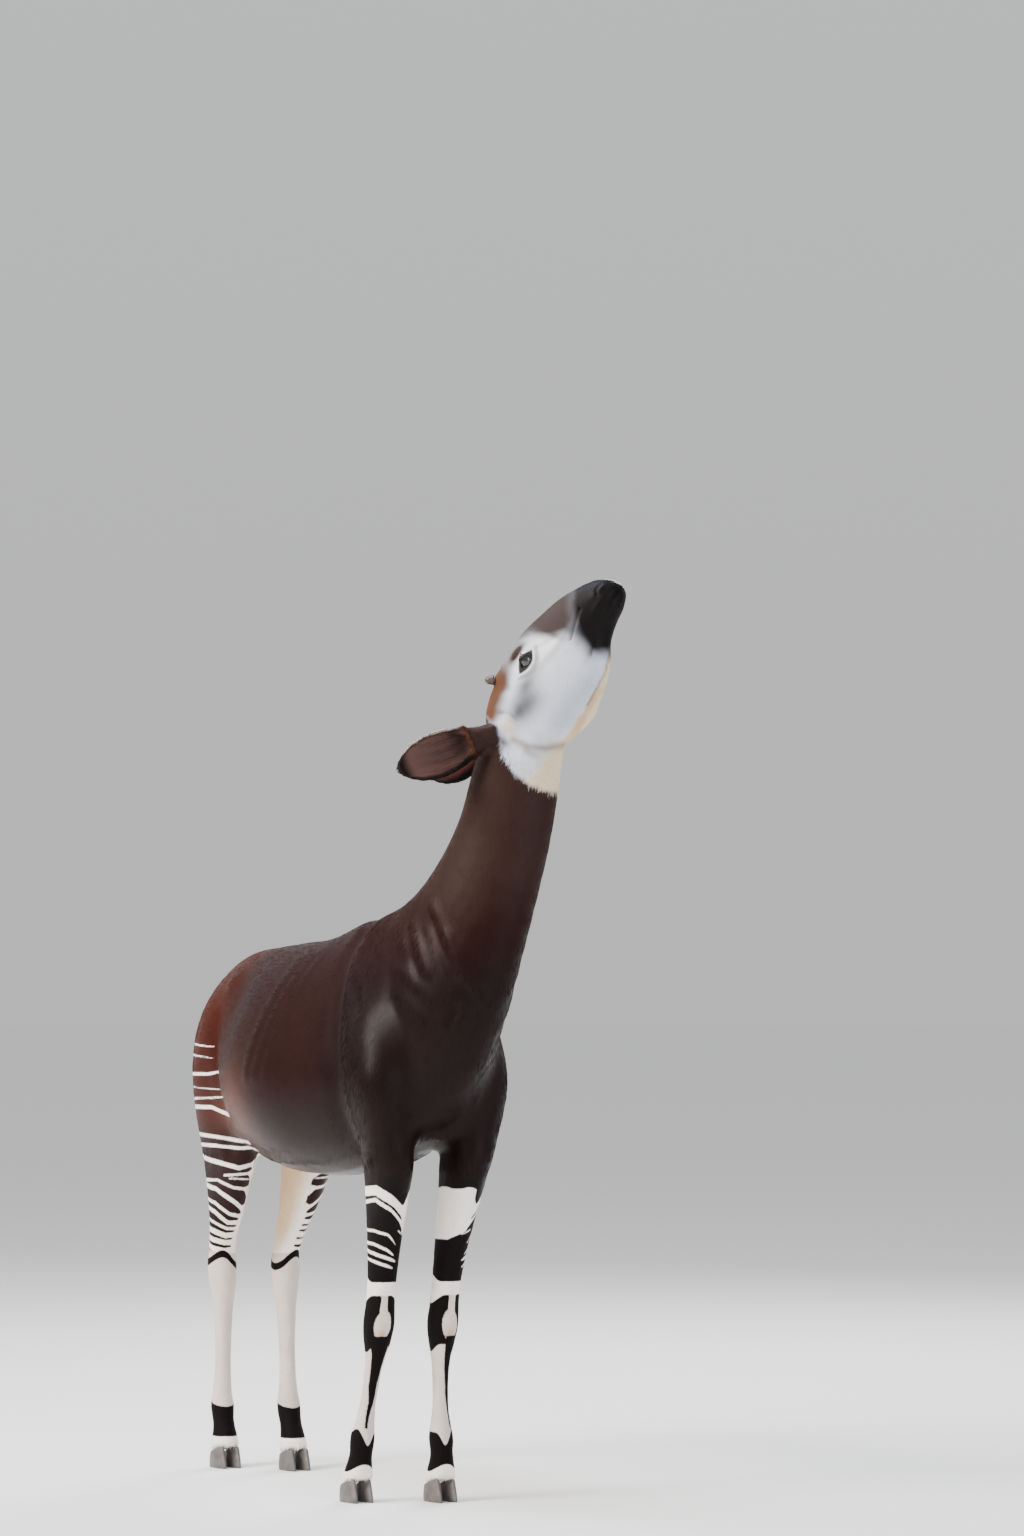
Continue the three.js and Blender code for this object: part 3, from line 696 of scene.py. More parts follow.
def head_marks(points, ground):
    """Pale cheeks and throat, brown brow, black muzzle, and painted shade round the eyes, on the cheeks, along
    and behind the jaw and in the face's creases.
    """
    t, s, n = on_head(points).T
    z = points[:, 2] * 1000
    ripple = 2.5 * np.sin(t / 17 + n / 23 + s / 11) + 1.0 * np.sin(n / 7 - t / 31)
    ripple = ripple + 1.2 * np.sin(t / 5 + s / 6)
    collar = np.interp(n, [-170, -105, -60, -10, 40], [-530, -545, -540, -520, -470])
    head = smooth(-7, 7, t - collar + ripple) * smooth(1740, 1780, z)
    ground.paint("cheek", head)
    ground.paint("white", head * near_spot(t, n, (-245, 66), (85, 50)) * 0.6)
    ground.paint("jaw", head * smooth(-395, -440, t) * smooth(-60, -105, n) * 0.45)
    # Painted shade on the lower cheek, above the jaw's edge.
    ground.paint("soft", head * inside_band(n, -112, -66, 26) * inside_band(t, -410, -220, 50) * 0.28)
    # Painted shade across the rear of the cheek.
    painted_cheek_shade = head * inside_band(t + 0.35 * n, -430, -330, 40)
    ground.paint("soft", painted_cheek_shade * inside_band(n, -30, 60, 26) * 0.25)
    under = np.interp(t, [-430, -375, -225, -140], [-105, -115, -105, -75]) + 0.5 * ripple
    ground.paint("jaw", head * smooth(1, -7, n - under))
    # Painted shadow along the edge of the pale jaw, in tan.
    ground.paint("tan", head * inside_band(n - under, -17, -4, 3) * inside_band(t, -410, -250, 30) * 0.55)
    # Painted shade from the eye down to the ear.
    paint_spots(ground, head, t, n, PAINTED_FACE_SHADE)
    line = np.interp(t, [-520, -420, -370, -350, -290, -240], [45, 70, 80, 95, 115, 120])
    above = n - line + ripple
    ground.paint("soft", head * smooth(-26, 8, above) * 0.6)
    ground.paint("brow", head * smooth(-22, 14, above) * (0.5 + 0.5 * smooth(-320, -360, t)))
    bridge = np.interp(t, [-260, -230, -200, -165, -120], [130, 110, 50, 25, 30])
    ground.paint("soft", head * smooth(-42, 2, n - bridge + ripple) * smooth(-275, -235, t) * 0.7)
    ground.paint("nose", head * smooth(-22, 20, n - bridge + ripple) * smooth(-265, -200, t) * 0.96)
    paint_spots(ground, head, t, n, FACE_SPOTS)
    along, across = eye_place(t, n)
    rim = np.abs(across) / 15.5 + (along / 35) ** 2
    # Painted shade below the eye, outside the rim of the lids.
    ground.paint("soft", head * inside_band(rim, 1.35, 2.3, 0.35) * smooth(4, -8, across) * 0.55)
    ground.paint("white", head * inside_band(rim, 1.12, 1.36, 0.12) * 0.4)
    ground.paint("muzzle", head * smooth(1.12, 0.9, rim) * 0.97)
    # Painted shade in the groove behind the jaw, in tan and face shade.
    flat = np.stack([t, np.zeros(len(t)), n], axis=1)
    behind_jaw = from_line(flat, [(a, 0, b) for a, _, b in JAW_END])
    ground.paint("tan", head * np.exp(-((behind_jaw / 11) ** 2)) * 0.45)
    ground.paint("soft", head * np.exp(-((behind_jaw / 8) ** 2)) * 0.4)
    # Painted shade along the face's folds, in the muzzle's near black.
    for line, width, share in FACE_CREASE_SHADE:
        far = from_line(flat, [(a, 0, b) for a, _, b in line])
        ground.paint("muzzle", head * np.exp(-((far / width) ** 2)) * share)
    edge = np.interp(n, [-90, -50, 10, 55, 90], [-150, -185, -160, -110, -70]) + ripple
    ground.paint("soft", head * smooth(-46, 4, t - edge) * 0.75)
    ground.paint("muzzle", head * smooth(-16, 22, t - edge))
    return head, head * smooth(-16, 22, t - edge)


def markings(points):
    """Ground colour, signed edges in centimetres, dullness and lie of the hair at each point."""
    x, y, z = on_body(points).T
    ground = Ground(len(points), "body")
    ground.paint("rump", smooth(-150, -450, x))
    ground.paint("breast_and_belly_shade", smooth(250, 480, x) * smooth(1500, 1300, z))
    ground.paint("neck", smooth(1450, 1650, z) * smooth(450, 600, x))
    # Painted shade under the belly, darker towards the bottom, in the breast's near black.
    ground.paint("breast_and_belly_shade", smooth(1120, 940, z) * smooth(-160, 60, x) * 0.8)
    groin = inside_band(x, -420, -180, 60) * smooth(960, 850, z) * (np.abs(y) < 240)
    ground.paint("flank", groin * 0.8)
    ground.paint("flank", near_spot(x, z, (-230, 960), (100, 90)) * 0.6)
    ground.paint("flank", near_spot(x, z, (-95, 1000), (110, 110)) * 0.55)
    head, muzzle = head_marks(points, ground)
    marks = plain_marks(ground, head * 0.9 - muzzle * 0.6)
    leg_marks(points, marks)
    # Hair lies back along the trunk and down the neck and legs.
    down = np.clip(smooth(900, 760, z) + smooth(1480, 1560, z), 0, 1)
    lie = np.stack([x, y, z], axis=1) / 1000
    lie[:, 2] *= 1 - down * (1 - 1 / HAIR_STRETCH)
    lie[:, 0] *= 1 / HAIR_STRETCH + down * (1 - 1 / HAIR_STRETCH)
    marks["lie"] = lie
    return marks


def mark(mesh):
    for name, values in markings(read(mesh)).items():
        set_attribute(mesh, name, values)


def mound(points, centre, radii, height):
    """Height of a smooth mound, on both sides of the head or body unless it lies in the middle."""
    out = np.zeros(len(points))
    for side in (1, -1) if centre[1] else (1,):
        at = np.array([centre[0], centre[1] * side, centre[2]])
        out += np.exp(-(((points - at) / np.array(radii)) ** 2).sum(axis=1))
    return out * height


def from_line(points, line):
    """Distance of each point to a line of straight stretches."""
    best = np.full(len(points), 1e9)
    for a, b in zip(line[:-1], line[1:]):
        a, b = np.array(a, float), np.array(b, float)
        run = np.clip(((points - a) @ (b - a)) / ((b - a) @ (b - a)), 0, 1)
        best = np.minimum(best, np.linalg.norm(points - a - run[:, None] * (b - a), axis=1))
    return best


def groove(points, line, width, depth, sides=(1, -1)):
    out = np.zeros(len(points))
    for side in sides:
        turned = points * np.array([1, side, 1])
        out -= depth * np.exp(-((from_line(turned, line) / width) ** 2))
    return out


# Raised and sunken forms of the head: centre, reach along each axis, and height, all in millimetres.
HEAD_FORMS = [
    ((-300, 68, 108), (42, 20, 13), 6.0),
    ((-280, 76, 36), (70, 22, 12), 4.0),
    ((-212, 60, 32), (50, 18, 10), 3.5),
    ((-372, 72, 86), (26, 22, 24), -6.0),
    ((-345, 72, -35), (66, 26, 60), 6.0),
    ((-376, 74, 6), (26, 22, 18), -4.0),
    ((-185, 52, -18), (34, 22, 34), -5.0),
    ((-40, 38, 22), (24, 14, 13), 4.5),
    ((-55, 42, 0), (55, 22, 10), 2.5),
    ((-70, 40, -40), (50, 20, 9), 2.5),
    ((-48, 0, -52), (26, 28, 14), 3.0),
    ((-470, 0, 84), (32, 44, 26), 3.5),
    ((-455, 72, 15), (20, 22, 24), 5.0),
    ((-514, 76, -52), (30, 24, 36), 4.0),
]
def moved(line, ahead):
    return [(x + ahead, y, z) for x, y, z in line]


MOUTH_LINE = [(-4, 10, -16), (-12, 26, -19), (-40, 42, -21), (-85, 46, -25), (-130, 50, -28), (-176, 56, -36)]
NOSTRIL = [(-20, 24, 12), (-30, 31, 24), (-44, 36, 26), (-54, 38, 18)]
# Grooves of the head: a line, its width and its depth.
HEAD_LINES = [
    (MOUTH_LINE, 3.2, 5.0),
    (NOSTRIL, 5.0, 8.0),
    ([(-262, 74, 78), (-240, 68, 62), (-200, 60, 44)], 6.0, 2.5),
    (NOSE_FOLD, 4.0, 3.5),
    (LIP_FOLD, 4.0, 2.5),
    (CHIN_FOLD, 3.5, 2.5),
    (JAW_END, 9.0, 6.5),
    (TEMPLE_FOLD, 5.0, 3.5),
    ([(-495, 72, 30), (-485, 75, -35)], 8.0, 5.0),
    *((moved(CHEEK_FOLD, ahead), 3.4, 2.4) for ahead in (-16, 0, 18)),
    ([(-318, 76, 50), (-296, 80, 44), (-270, 76, 50)], 3.5, 2.0),
    ([(-335, 72, 82), (-316, 70, 98), (-290, 68, 100)], 3.0, 1.5),
]

# Muscles and bones of the trunk and legs, in the body's own frame.
BODY_FORMS = [
    ((560, 150, 1230), (60, 60, 130), 6.0),
    ((630, 150, 1085), (50, 60, 66), 6.0),
    ((480, 190, 1010), (34, 50, 60), 5.0),
    ((-330, 150, 1345), (42, 50, 36), 10.0),
    ((-210, 170, 1265), (70, 70, 90), -11.0),
    ((-430, 180, 1150), (90, 60, 150), 5.0),
    ((-560, 110, 1220), (30, 60, 90), -5.0),
    ((-250, 170, 930), (50, 60, 40), 5.0),
    ((330, 60, 1480), (60, 60, 30), 5.0),
]
# The shoulder blade's edge from the withers to the elbow, and a rib.
SCAPULA = [(450, 50, 1490), (420, 90, 1420), (450, 135, 1270), (520, 170, 1110), (520, 160, 960)]
RIB = [(85, 100, 1410), (75, 180, 1300), (50, 240, 1180), (30, 250, 1090)]


# Ridges and grooves of the trunk: a line, its width and its depth, which is negative on a ridge.
BODY_LINES = [
    (SCAPULA, 34, -9.0),
    (moved(SCAPULA, -62), 44, 10.0),
    (RIB, 20, -4.0),
    (moved(RIB, 50), 19, -3.0),
    (moved(RIB, 100), 16, -2.0),
    ([(-345, 190, 1240), (-300, 215, 1090), (-275, 205, 960), (-300, 170, 880)], 26, 10.0),
    ([(640, 90, 1290), (690, 60, 1180), (660, 44, 1020)], 24, 5.0),
    ([(652, 100, 940), (600, 118, 905), (560, 128, 880)], 10, -3.0),
    ([(-450, 120, 1400), (-480, 150, 1280), (-470, 170, 1150)], 34, 5.0),
    ([(540, 30, 1520), (600, 70, 1400), (640, 110, 1290)], 26, 4.0),
]
# Folds where the neck turns on the breast. The head is turned to the left, so the skin folds on one side.
NECK_LINES = [
    ([(660, -40, 1490), (700, -40, 1430), (730, -40, 1370)], 14, -4.0),
    ([(640, -50, 1480), (680, -55, 1420), (710, -55, 1360)], 15, 4.0),
    ([(715, -10, 1540), (790, 10, 1430), (820, 35, 1355), (830, 110, 1290)], 14, -4.5),
    ([(730, -20, 1500), (790, 5, 1370), (810, 95, 1280)], 15, 4.5),
    ([(800, 20, 1275), (790, 10, 1260)], 12, 5.0),
    ([(805, 35, 1245), (800, 20, 1230)], 13, -4.0),
    ([(585, 60, 940), (635, 110, 975), (680, 130, 1055)], 10, -6.0),
    ([(590, 40, 960), (665, 110, 1050)], 16, 6.0),
    ([(560, 190, 1400), (640, 200, 1330), (700, 190, 1250)], 16, 4.0),
]


# Shallow folds that run across the neck: distance from one to the next and height, in millimetres.
FOLD_STEP = 74
FOLD_HEIGHT = 1.5


# How far behind the eyeball's face the skin lies where the lids open, in millimetres.
EYE_SINK = 5


def hug_eyes(head_points):
    """Skin drawn tight over each eyeball, and in behind it where the lids open."""
    lid = sizes().lid * 1000
    long_half = sizes().eye_long * 1000
    high_half = sizes().eye_high * 1000
    for side in (1, -1):
        centre = np.array([EYE_AT.x, EYE_AT.y * side, EYE_AT.z])
        away = head_points - centre
        reach = np.linalg.norm(away, axis=1)
        facing = away[:, 1] * side / np.maximum(reach, 1e-6)
        along, across = eye_place(head_points[:, 0], head_points[:, 2])
        oval = (along / long_half) ** 2 + np.abs(across) / high_half
        near = (reach < EYE_RADIUS * 1.8) & (facing > -0.2)
        target = EYE_RADIUS + lid
        push = near & (reach < target) & (oval >= 1)
        scale = np.where(push, target / np.maximum(reach, 1e-6), 1)
        opened = near & (oval < 1) & (facing > 0.25)
        scale = np.where(opened, (EYE_RADIUS - EYE_SINK) / np.maximum(reach, 1e-6), scale)
        head_points = centre + away * scale[:, None]
    return head_points


def sculpt(points, normals):
    """Muscles, bones, folds, mouth and nostrils, as moves along the skin's normals."""
    head = on_head(points)
    body = on_body(points)
    on_face = smooth(-560, -520, head[:, 0]) * (body[:, 2] > 1800)
    rise = np.zeros(len(points))
    for form in HEAD_FORMS:
        rise += mound(head, *form) * on_face
    for line, width, depth in HEAD_LINES:
        rise += groove(head, line, width, depth) * on_face
    for form in BODY_FORMS:
        rise += mound(body, *form)
    for line, width, depth in BODY_LINES:
        rise += groove(body, line, width, depth)
    for line, width, depth in NECK_LINES:
        rise += groove(body, line, width, depth, sides=(1,))
    x, y, z = body.T
    fold = inside_band(z, 1180, 1560, 80) * smooth(380, 480, x) * smooth(60, 110, np.abs(y - 50))
    bend = 26 * np.sin(z / 97 + y / 60) + 17 * np.sin(x / 41)
    wave = np.sin((0.75 * z + 0.6 * x + bend) / FOLD_STEP * 2 * np.pi)
    rise += FOLD_HEIGHT * fold * wave * (0.5 + 0.5 * np.sin(z / 71 + x / 53))
    return points + normals * (rise / 1000)[:, None]


SKIN = {}
# Parts of the skin with finer cells, in millimetres: legs and head by height, thighs, and eyes and muzzle.
LEGS_BELOW = 870
HEAD_ABOVE = 1900
THIGH_BEHIND, THIGH_BELOW = -190, 1190
EYE_ZONE = 62
MUZZLE_AHEAD, MUZZLE_HALF = -190, 90
# Rounds of smoothing over the whole skin, and more of them where legs, neck and trunk meet.
SKIN_ROUNDS = 10
JOINT_ROUNDS = 60


class OKAPI_OT_skin(bpy.types.Operator):
    """One skin over head, neck, trunk, tail and legs"""

    bl_idname = "okapi.skin"
    bl_label = "Okapi Skin"

    def execute(self, context):
        grain = sizes().voxel
        mesh = remeshed(joined_copy(FLESH), grain)
        points = relax(read(mesh), edges_of(mesh), 1.0, SKIN_ROUNDS)
        body = on_body(points)
        x, z = body[:, 0], body[:, 2]
        joint = smooth(880, 960, z) * smooth(780, 700, x) * smooth(1560, 1480, z)
        points = relax(points, edges_of(mesh), joint[:, None], JOINT_ROUNDS, keep=False)
        write(mesh, points)

        body = on_body(points)
        thigh = (body[:, 0] < THIGH_BEHIND) & (body[:, 2] < THIGH_BELOW)
        refine(mesh, (body[:, 2] < LEGS_BELOW) | (body[:, 2] > HEAD_ABOVE) | thigh)
        head = on_head(read(mesh))
        eye = np.linalg.norm(np.abs(head) - np.abs(np.array(EYE_AT)), axis=1) < EYE_ZONE
        muzzle = (head[:, 0] > MUZZLE_AHEAD) & (np.abs(head[:, 2]) < MUZZLE_HALF)
        refine(mesh, eye | muzzle)
        points = relax(read(mesh), edges_of(mesh), 1.0, 4)
        write(mesh, points)

        points = sculpt(points, read(mesh, "normal"))
        head = hug_eyes(on_head(points))
        near = np.abs(head - on_head(points)).max(axis=1) > 0.001
        points = np.where(near[:, None], from_head(head), points)
        write(mesh, points)
        points = points - read(mesh, "normal") * sizes().coat_depth * 0.5
        write(mesh, points)
        mark(mesh)
        skin = piece("okapi_skin", mesh, coat_material())
        SKIN["mesh"] = mesh
        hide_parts(*FLESH)
        return {"FINISHED"}


def unit(vectors):
    return vectors / np.maximum(np.linalg.norm(vectors, axis=1), 1e-9)[:, None]


def sampled(mesh, count, density, rng):
    """Random places on a mesh with their normals, as dense as a function of place asks."""
    mesh.calc_loop_triangles()
    tris = np.empty(len(mesh.loop_triangles) * 3, dtype=np.int64)
    mesh.loop_triangles.foreach_get("vertices", tris)
    tris = tris.reshape(-1, 3)
    points, normals = read(mesh), read(mesh, "normal")
    a, b, c = (points[tris[:, i]] for i in range(3))
    area = np.linalg.norm(np.cross(b - a, c - a), axis=1) * density((a + b + c) / 3)
    chosen = rng.choice(len(tris), count, p=area / area.sum())
    share = np.sort(rng.random((count, 2)), axis=1)
    weights = np.stack([share[:, 0], share[:, 1] - share[:, 0], 1 - share[:, 1]], axis=1)
    picked = tris[chosen]
    place = (points[picked] * weights[:, :, None]).sum(axis=1)
    return place, unit((normals[picked] * weights[:, :, None]).sum(axis=1))


def unwrap(points):
    """Where a point of the skin lies on an unwrap of its shape, with trunk, head and legs rolled out."""
    x, y, z = on_body(points).T
    t, s, n = on_head(points).T
    axis_x = np.interp(z, [1150, 1345, 1600, 1950], [300, 620, 755, 830])
    axis_y = np.interp(z, [1230, 1345, 1600, 1950], [0, 62, 125, 170])
    on_neck = smooth(1250, 1500, z)
    run = (np.clip(x, -700, 700) + 700) / 1400 * 0.55 + on_neck * np.clip(z - 1250, 0, 750) / 750 * 0.43
    roll = np.arctan2(y - axis_y * on_neck, np.where(on_neck > 0.5, axis_x - x, z - 1130))
    place = np.stack([run, 0.52 + 0.47 * (roll / (2 * np.pi) + 0.5)], axis=1)
    for i, name in enumerate(LEGS):
        ahead, outward, cx, _ = leg_place(points, name)
        mine = (points[:, 1] - leg_middle(name)) * SIDES[name.split("_")[1]] > 0
        mine &= (points[:, 2] < 0.86) & (np.abs(points[:, 0] - cx) < 0.25)
        turned = np.arctan2(outward, ahead) / (2 * np.pi) + 0.5
        flat = np.stack([0.02 + 0.18 * i + 0.15 * turned, 0.02 + 0.46 * points[:, 2] / 0.86], axis=1)
        place = np.where(mine[:, None], flat, place)
    face = (t > -540) & (z > 1880)
    turned = np.arctan2(s, n) / (2 * np.pi) + 0.5
    flat = np.stack([0.74 + 0.24 * turned, 0.02 + 0.46 * (t + 540) / 560], axis=1)
    return np.where(face[:, None], flat, place)


# A lock's share of the unwrap, and how far its edges lean out of the coat's own normal.
PATCH = 0.003
LOCK_ROUND = 0.45


def locks(name, roots, out, lie, length, width, lift, places, rng, stations=2, yaw=0.10, sway=0.0):
    """A mesh of flat tapering locks: three sided, bent along the coat, each closed at root and tip."""
    count = len(roots)
    lie = unit(lie - out * (lie * out).sum(axis=1)[:, None])
    aside = unit(np.cross(lie, out))
    lie = unit(lie + aside * rng.normal(0, yaw, count)[:, None])
    phase = rng.random(count) * 2 * np.pi
    shares = np.linspace(0, 1, stations + 1)
    rows = []
    for share in shares:
        at = roots - out * 0.0006 + lie * (length * share)[:, None]
        at = at + out * (lift * length * (share - 0.35 * share**2))[:, None]
        at = at + aside * (sway * length * share * np.sin(phase + share * 4))[:, None]
        if share == 1:
            rows.append(at[:, None, :])
            continue
        half = (width / 2 * (1 - share**1.6) * (0.75 + share))[:, None]
        rows.append(np.stack([at - aside * half, at + aside * half, at + out * half * 0.7], axis=1))
    points = np.concatenate(rows, axis=1)
    faces = [(0, 1, 2)]
    for i in range(stations - 1):
        for a, b in ((0, 1), (1, 2), (2, 0)):
            faces += [(3 * i + b, 3 * i + a, 3 * i + 3 + a), (3 * i + b, 3 * i + 3 + a, 3 * i + 3 + b)]
    top, end = 3 * (stations - 1), 3 * stations
    faces += [(top + 1, top, end), (top + 2, top + 1, end), (top, top + 2, end)]
    per = end + 1
    every = (np.array(faces)[None] + (np.arange(count) * per)[:, None, None]).reshape(-1, 3)
    mesh = bpy.data.meshes.new(name)
    mesh.from_pydata(points.reshape(-1, 3), [], every)
    # A lock lies in its coat, so it is lit as the coat is, with only a slight roundness of its own.
    lean = np.tile([-LOCK_ROUND, LOCK_ROUND, 0.0], stations).tolist() + [0.0]
    normals = out[:, None, :] + aside[:, None, :] * np.array(lean)[None, :, None]
    mesh.polygons.foreach_set("use_smooth", [True] * len(mesh.polygons))
    mesh.normals_split_custom_set_from_vertices(unit(normals.reshape(-1, 3)))
    spot = np.array([[x, i / stations] for i in range(stations) for x in (0, 1, 0.5)] + [[0.5, 1]])
    flat = (places[:, None, :] + (spot[None] - 0.5) * PATCH).reshape(-1, 2)
    layer = mesh.uv_layers.new(name="OFBake")
    layer.data.foreach_set("uv", flat[every.ravel()].ravel())
    return mesh, per


def dress_locks(mesh, per, roots, rng, marks):
    """Gives each lock the markings of its root, a little lighter or darker than its neighbours."""
    tone = np.exp(rng.normal(0, 0.1, len(roots)))[:, None]
    for name, values in marks.items():
        if name in ("ground", "pale"):
            values = np.clip(values * tone, 0, 1)
        if name != "lie":
            set_attribute(mesh, name, np.repeat(values, per, axis=0))
    set_attribute(mesh, "lie", markings(read(mesh))["lie"])


def coat_lie(points):
    """Which way the hair lies: back from the muzzle, down the neck and legs, and back along the trunk."""
    x, _, z = on_body(points).T
    down = np.clip(smooth(960, 820, z) + smooth(-420, -560, x) * 0.8 + smooth(300, 480, x) * 0.75, 0, 1)
    lie = np.stack([-(1 - down) - 0.12, np.zeros(len(x)), -0.25 - down], axis=1)
    neck = (smooth(1420, 1560, z) * smooth(450, 600, x))[:, None]
    lie = lie * (1 - neck) + np.array([-0.30, -0.14, -1.0]) * neck
    t = on_head(points)[:, 0]
    face = (smooth(-545, -470, t) * (z > 1880))[:, None]
    return unit(lie * (1 - face) - HEAD_AXES[:, 0] * face)


# Hair starts this far from the middle of an eye and from the mouth's line, in millimetres.
EYE_BARE = 31
MOUTH_BARE = 5


def hairy(points):
    """1 where hair grows on the face, 0 on the eyes, lips and nostrils."""
    head = on_head(points)
    eye = np.linalg.norm(np.abs(head) - np.abs(np.array(EYE_AT)), axis=1)
    mouth = from_line(np.abs(head) * np.array([-1, 1, -1]), MOUTH_LINE)
    return (eye > EYE_BARE) * (mouth > MOUTH_BARE) * smooth(-6, -40, head[:, 0])


# Regions of the coat: name, number of locks, length and width of a lock in millimetres, and how far it lifts
# as a share of its length.
REGIONS = [
    ("trunk_left", 19000, 21, 2.6, 0.035),
    ("trunk_right", 19000, 21, 2.6, 0.035),
    ("neck", 18000, 16, 2.0, 0.04),
    ("face", 19000, 6.5, 1.1, 0.05),
    ("forelegs", 18000, 10, 1.5, 0.06),
    ("hindlegs", 18000, 10, 1.5, 0.06),
]
# Where the legs' coat ends above and at the hooves, and where the neck's begins, in millimetres.
LEG_TOP = 860
HOOF_TOP = 52
NECK_FROM = 1500
WITHERS_AT = 450


def in_region(name, points):
    """1 at the points of a region of the coat, 0 elsewhere."""
    x, y, z = on_body(points).T
    t = on_head(points)[:, 0]
    if name == "face":
        return (t > -505) * (z > 1860) * hairy(points)
    if name == "neck":
        return ((z >= NECK_FROM) & (x >= WITHERS_AT) & ((t < -500) | (z < 1880))) * 1.0
    if name.endswith("legs"):
        return ((z <= LEG_TOP) & ((x > 0) == (name == "forelegs")) & (z > HOOF_TOP)) * 1.0
    side = SIDES[name.removeprefix("trunk_")]
    return ((z > LEG_TOP) & ((z < NECK_FROM) | (x < WITHERS_AT)) & (y * side > 0)) * 1.0


class OKAPI_OT_coat(bpy.types.Operator):
    """Flat locks of short hair over the whole skin"""

    bl_idname = "okapi.coat"
    bl_label = "Okapi Coat"

    def execute(self, context):
        material = coat_material("short_okapi_locks")
        for seed, (name, count, long, wide, lift) in enumerate(REGIONS, 40):
            rng = np.random.default_rng(seed)
            roots, out = sampled(SKIN["mesh"], count, lambda points: in_region(name, points), rng)
            length = long / 1000 * rng.uniform(0.7, 1.25, count)
            low = smooth(0.10, 0.06, roots[:, 2])
            marks = markings(roots)
            near = np.minimum(np.abs(marks["white_edge"]), np.abs(marks["dark_edge"]))
            length = length * (1 + 0.5 * low) * (0.4 + 0.6 * smooth(0.3, 1.6, near))
            width = wide / 1000 * rng.uniform(0.7, 1.3, count)
            rise = lift * rng.uniform(0.4, 1.7, count)
            lie, places = coat_lie(roots), unwrap(roots)
            full = f"okapi_coat_{name}"
            mesh, per = locks(full, roots, out, lie, length, width, rise, places, rng)
            dress_locks(mesh, per, roots, rng, marks)
            piece(full, mesh, material)
        return {"FINISHED"}


def horn_material():
    """Hoof horn: grown in rings from the coronet, mottled near black and grey."""
    n = two_tone("grown_hoof_horn", ("#2a2727", "#746d68"), 40.0, 3.0, 0.5)
    place = n.place()
    layers = n.add("ShaderNodeMapping", {"Scale": (10, 10, 260)}, Vector=place).outputs[0]
    lines = n.add("ShaderNodeTexNoise", {"Scale": 1.0, "Detail": 2.0}, Vector=layers)
    bump = n.add("ShaderNodeBump", {"Strength": 0.5, "Distance": 0.001}, Height=lines.outputs["Fac"])
    n.link(bump.outputs[0], "Normal")
    return n.material


# A claw narrows upward by this share, and stands flat below this height in metres.
CLAW_NARROWS = 0.10
SOLE = 0.004


class OKAPI_OT_hooves(bpy.types.Operator):
    """Two horn claws under each foot"""

    bl_idname = "okapi.hooves"
    bl_label = "Okapi Hooves"

    def execute(self, context):
        material = horn_material()
        for leg in LEGS:
            for where in ("outer", "inner"):
                node = f"{leg}_claw_{where}"
                mesh = remeshed(joined_copy([node], 0.0), sizes().hoof_voxel)
                points = relax(read(mesh), edges_of(mesh), 1.0, 5, keep=False)
                low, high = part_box(node)
                middle = (np.array(low) + np.array(high)) / 2
                narrow = 1 - CLAW_NARROWS * smooth(0.01, 0.06, points[:, 2])
                points[:, :2] = middle[:2] + (points[:, :2] - middle[:2]) * narrow[:, None]
                points[:, 2] = np.where(points[:, 2] < SOLE, 0.0, points[:, 2])
                write(mesh, points)
                claw = piece(f"okapi_{node}", mesh, material)
                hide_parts(node)
        return {"FINISHED"}


# An ear's root, tip and opening on the left side, in the head's frame, and its half width along it.
EAR_ROOT = (-478, 52, 36)
EAR_TIP = (-708, 158, 184)
EAR_OPENING = (0.25, 0.92, -0.26)
EAR_REACH = 278
EAR_LOCKS = 9000
EAR_WIDE = ([0, 0.16, 0.32, 0.48, 0.64, 0.8, 0.92, 1], [26, 30, 44, 56, 60, 51, 32, 8])


def ear_axes(side):
    """Root and axes of an ear in the head's frame: out to its tip, across to its upper edge, and its back."""
    flip = np.array([1, side, 1])
    root, tip = np.array(EAR_ROOT) * flip, np.array(EAR_TIP) * flip
    out = (tip - root) / np.linalg.norm(tip - root)
    back = -np.array(EAR_OPENING) * flip
    back = back - out * (back @ out)
    back /= np.linalg.norm(back)
    across = np.cross(back, out)
    if (HEAD_AXES @ across)[2] < 0:
        across = -across
    return root, out, across, back


def on_ear(points, side):
    """How far points are along an ear, in its reach, and up across it and behind it, in millimetres."""
    root, out, across, back = ear_axes(side)
    local = on_head(points) - root
    return local @ out / EAR_REACH, local @ across, local @ back


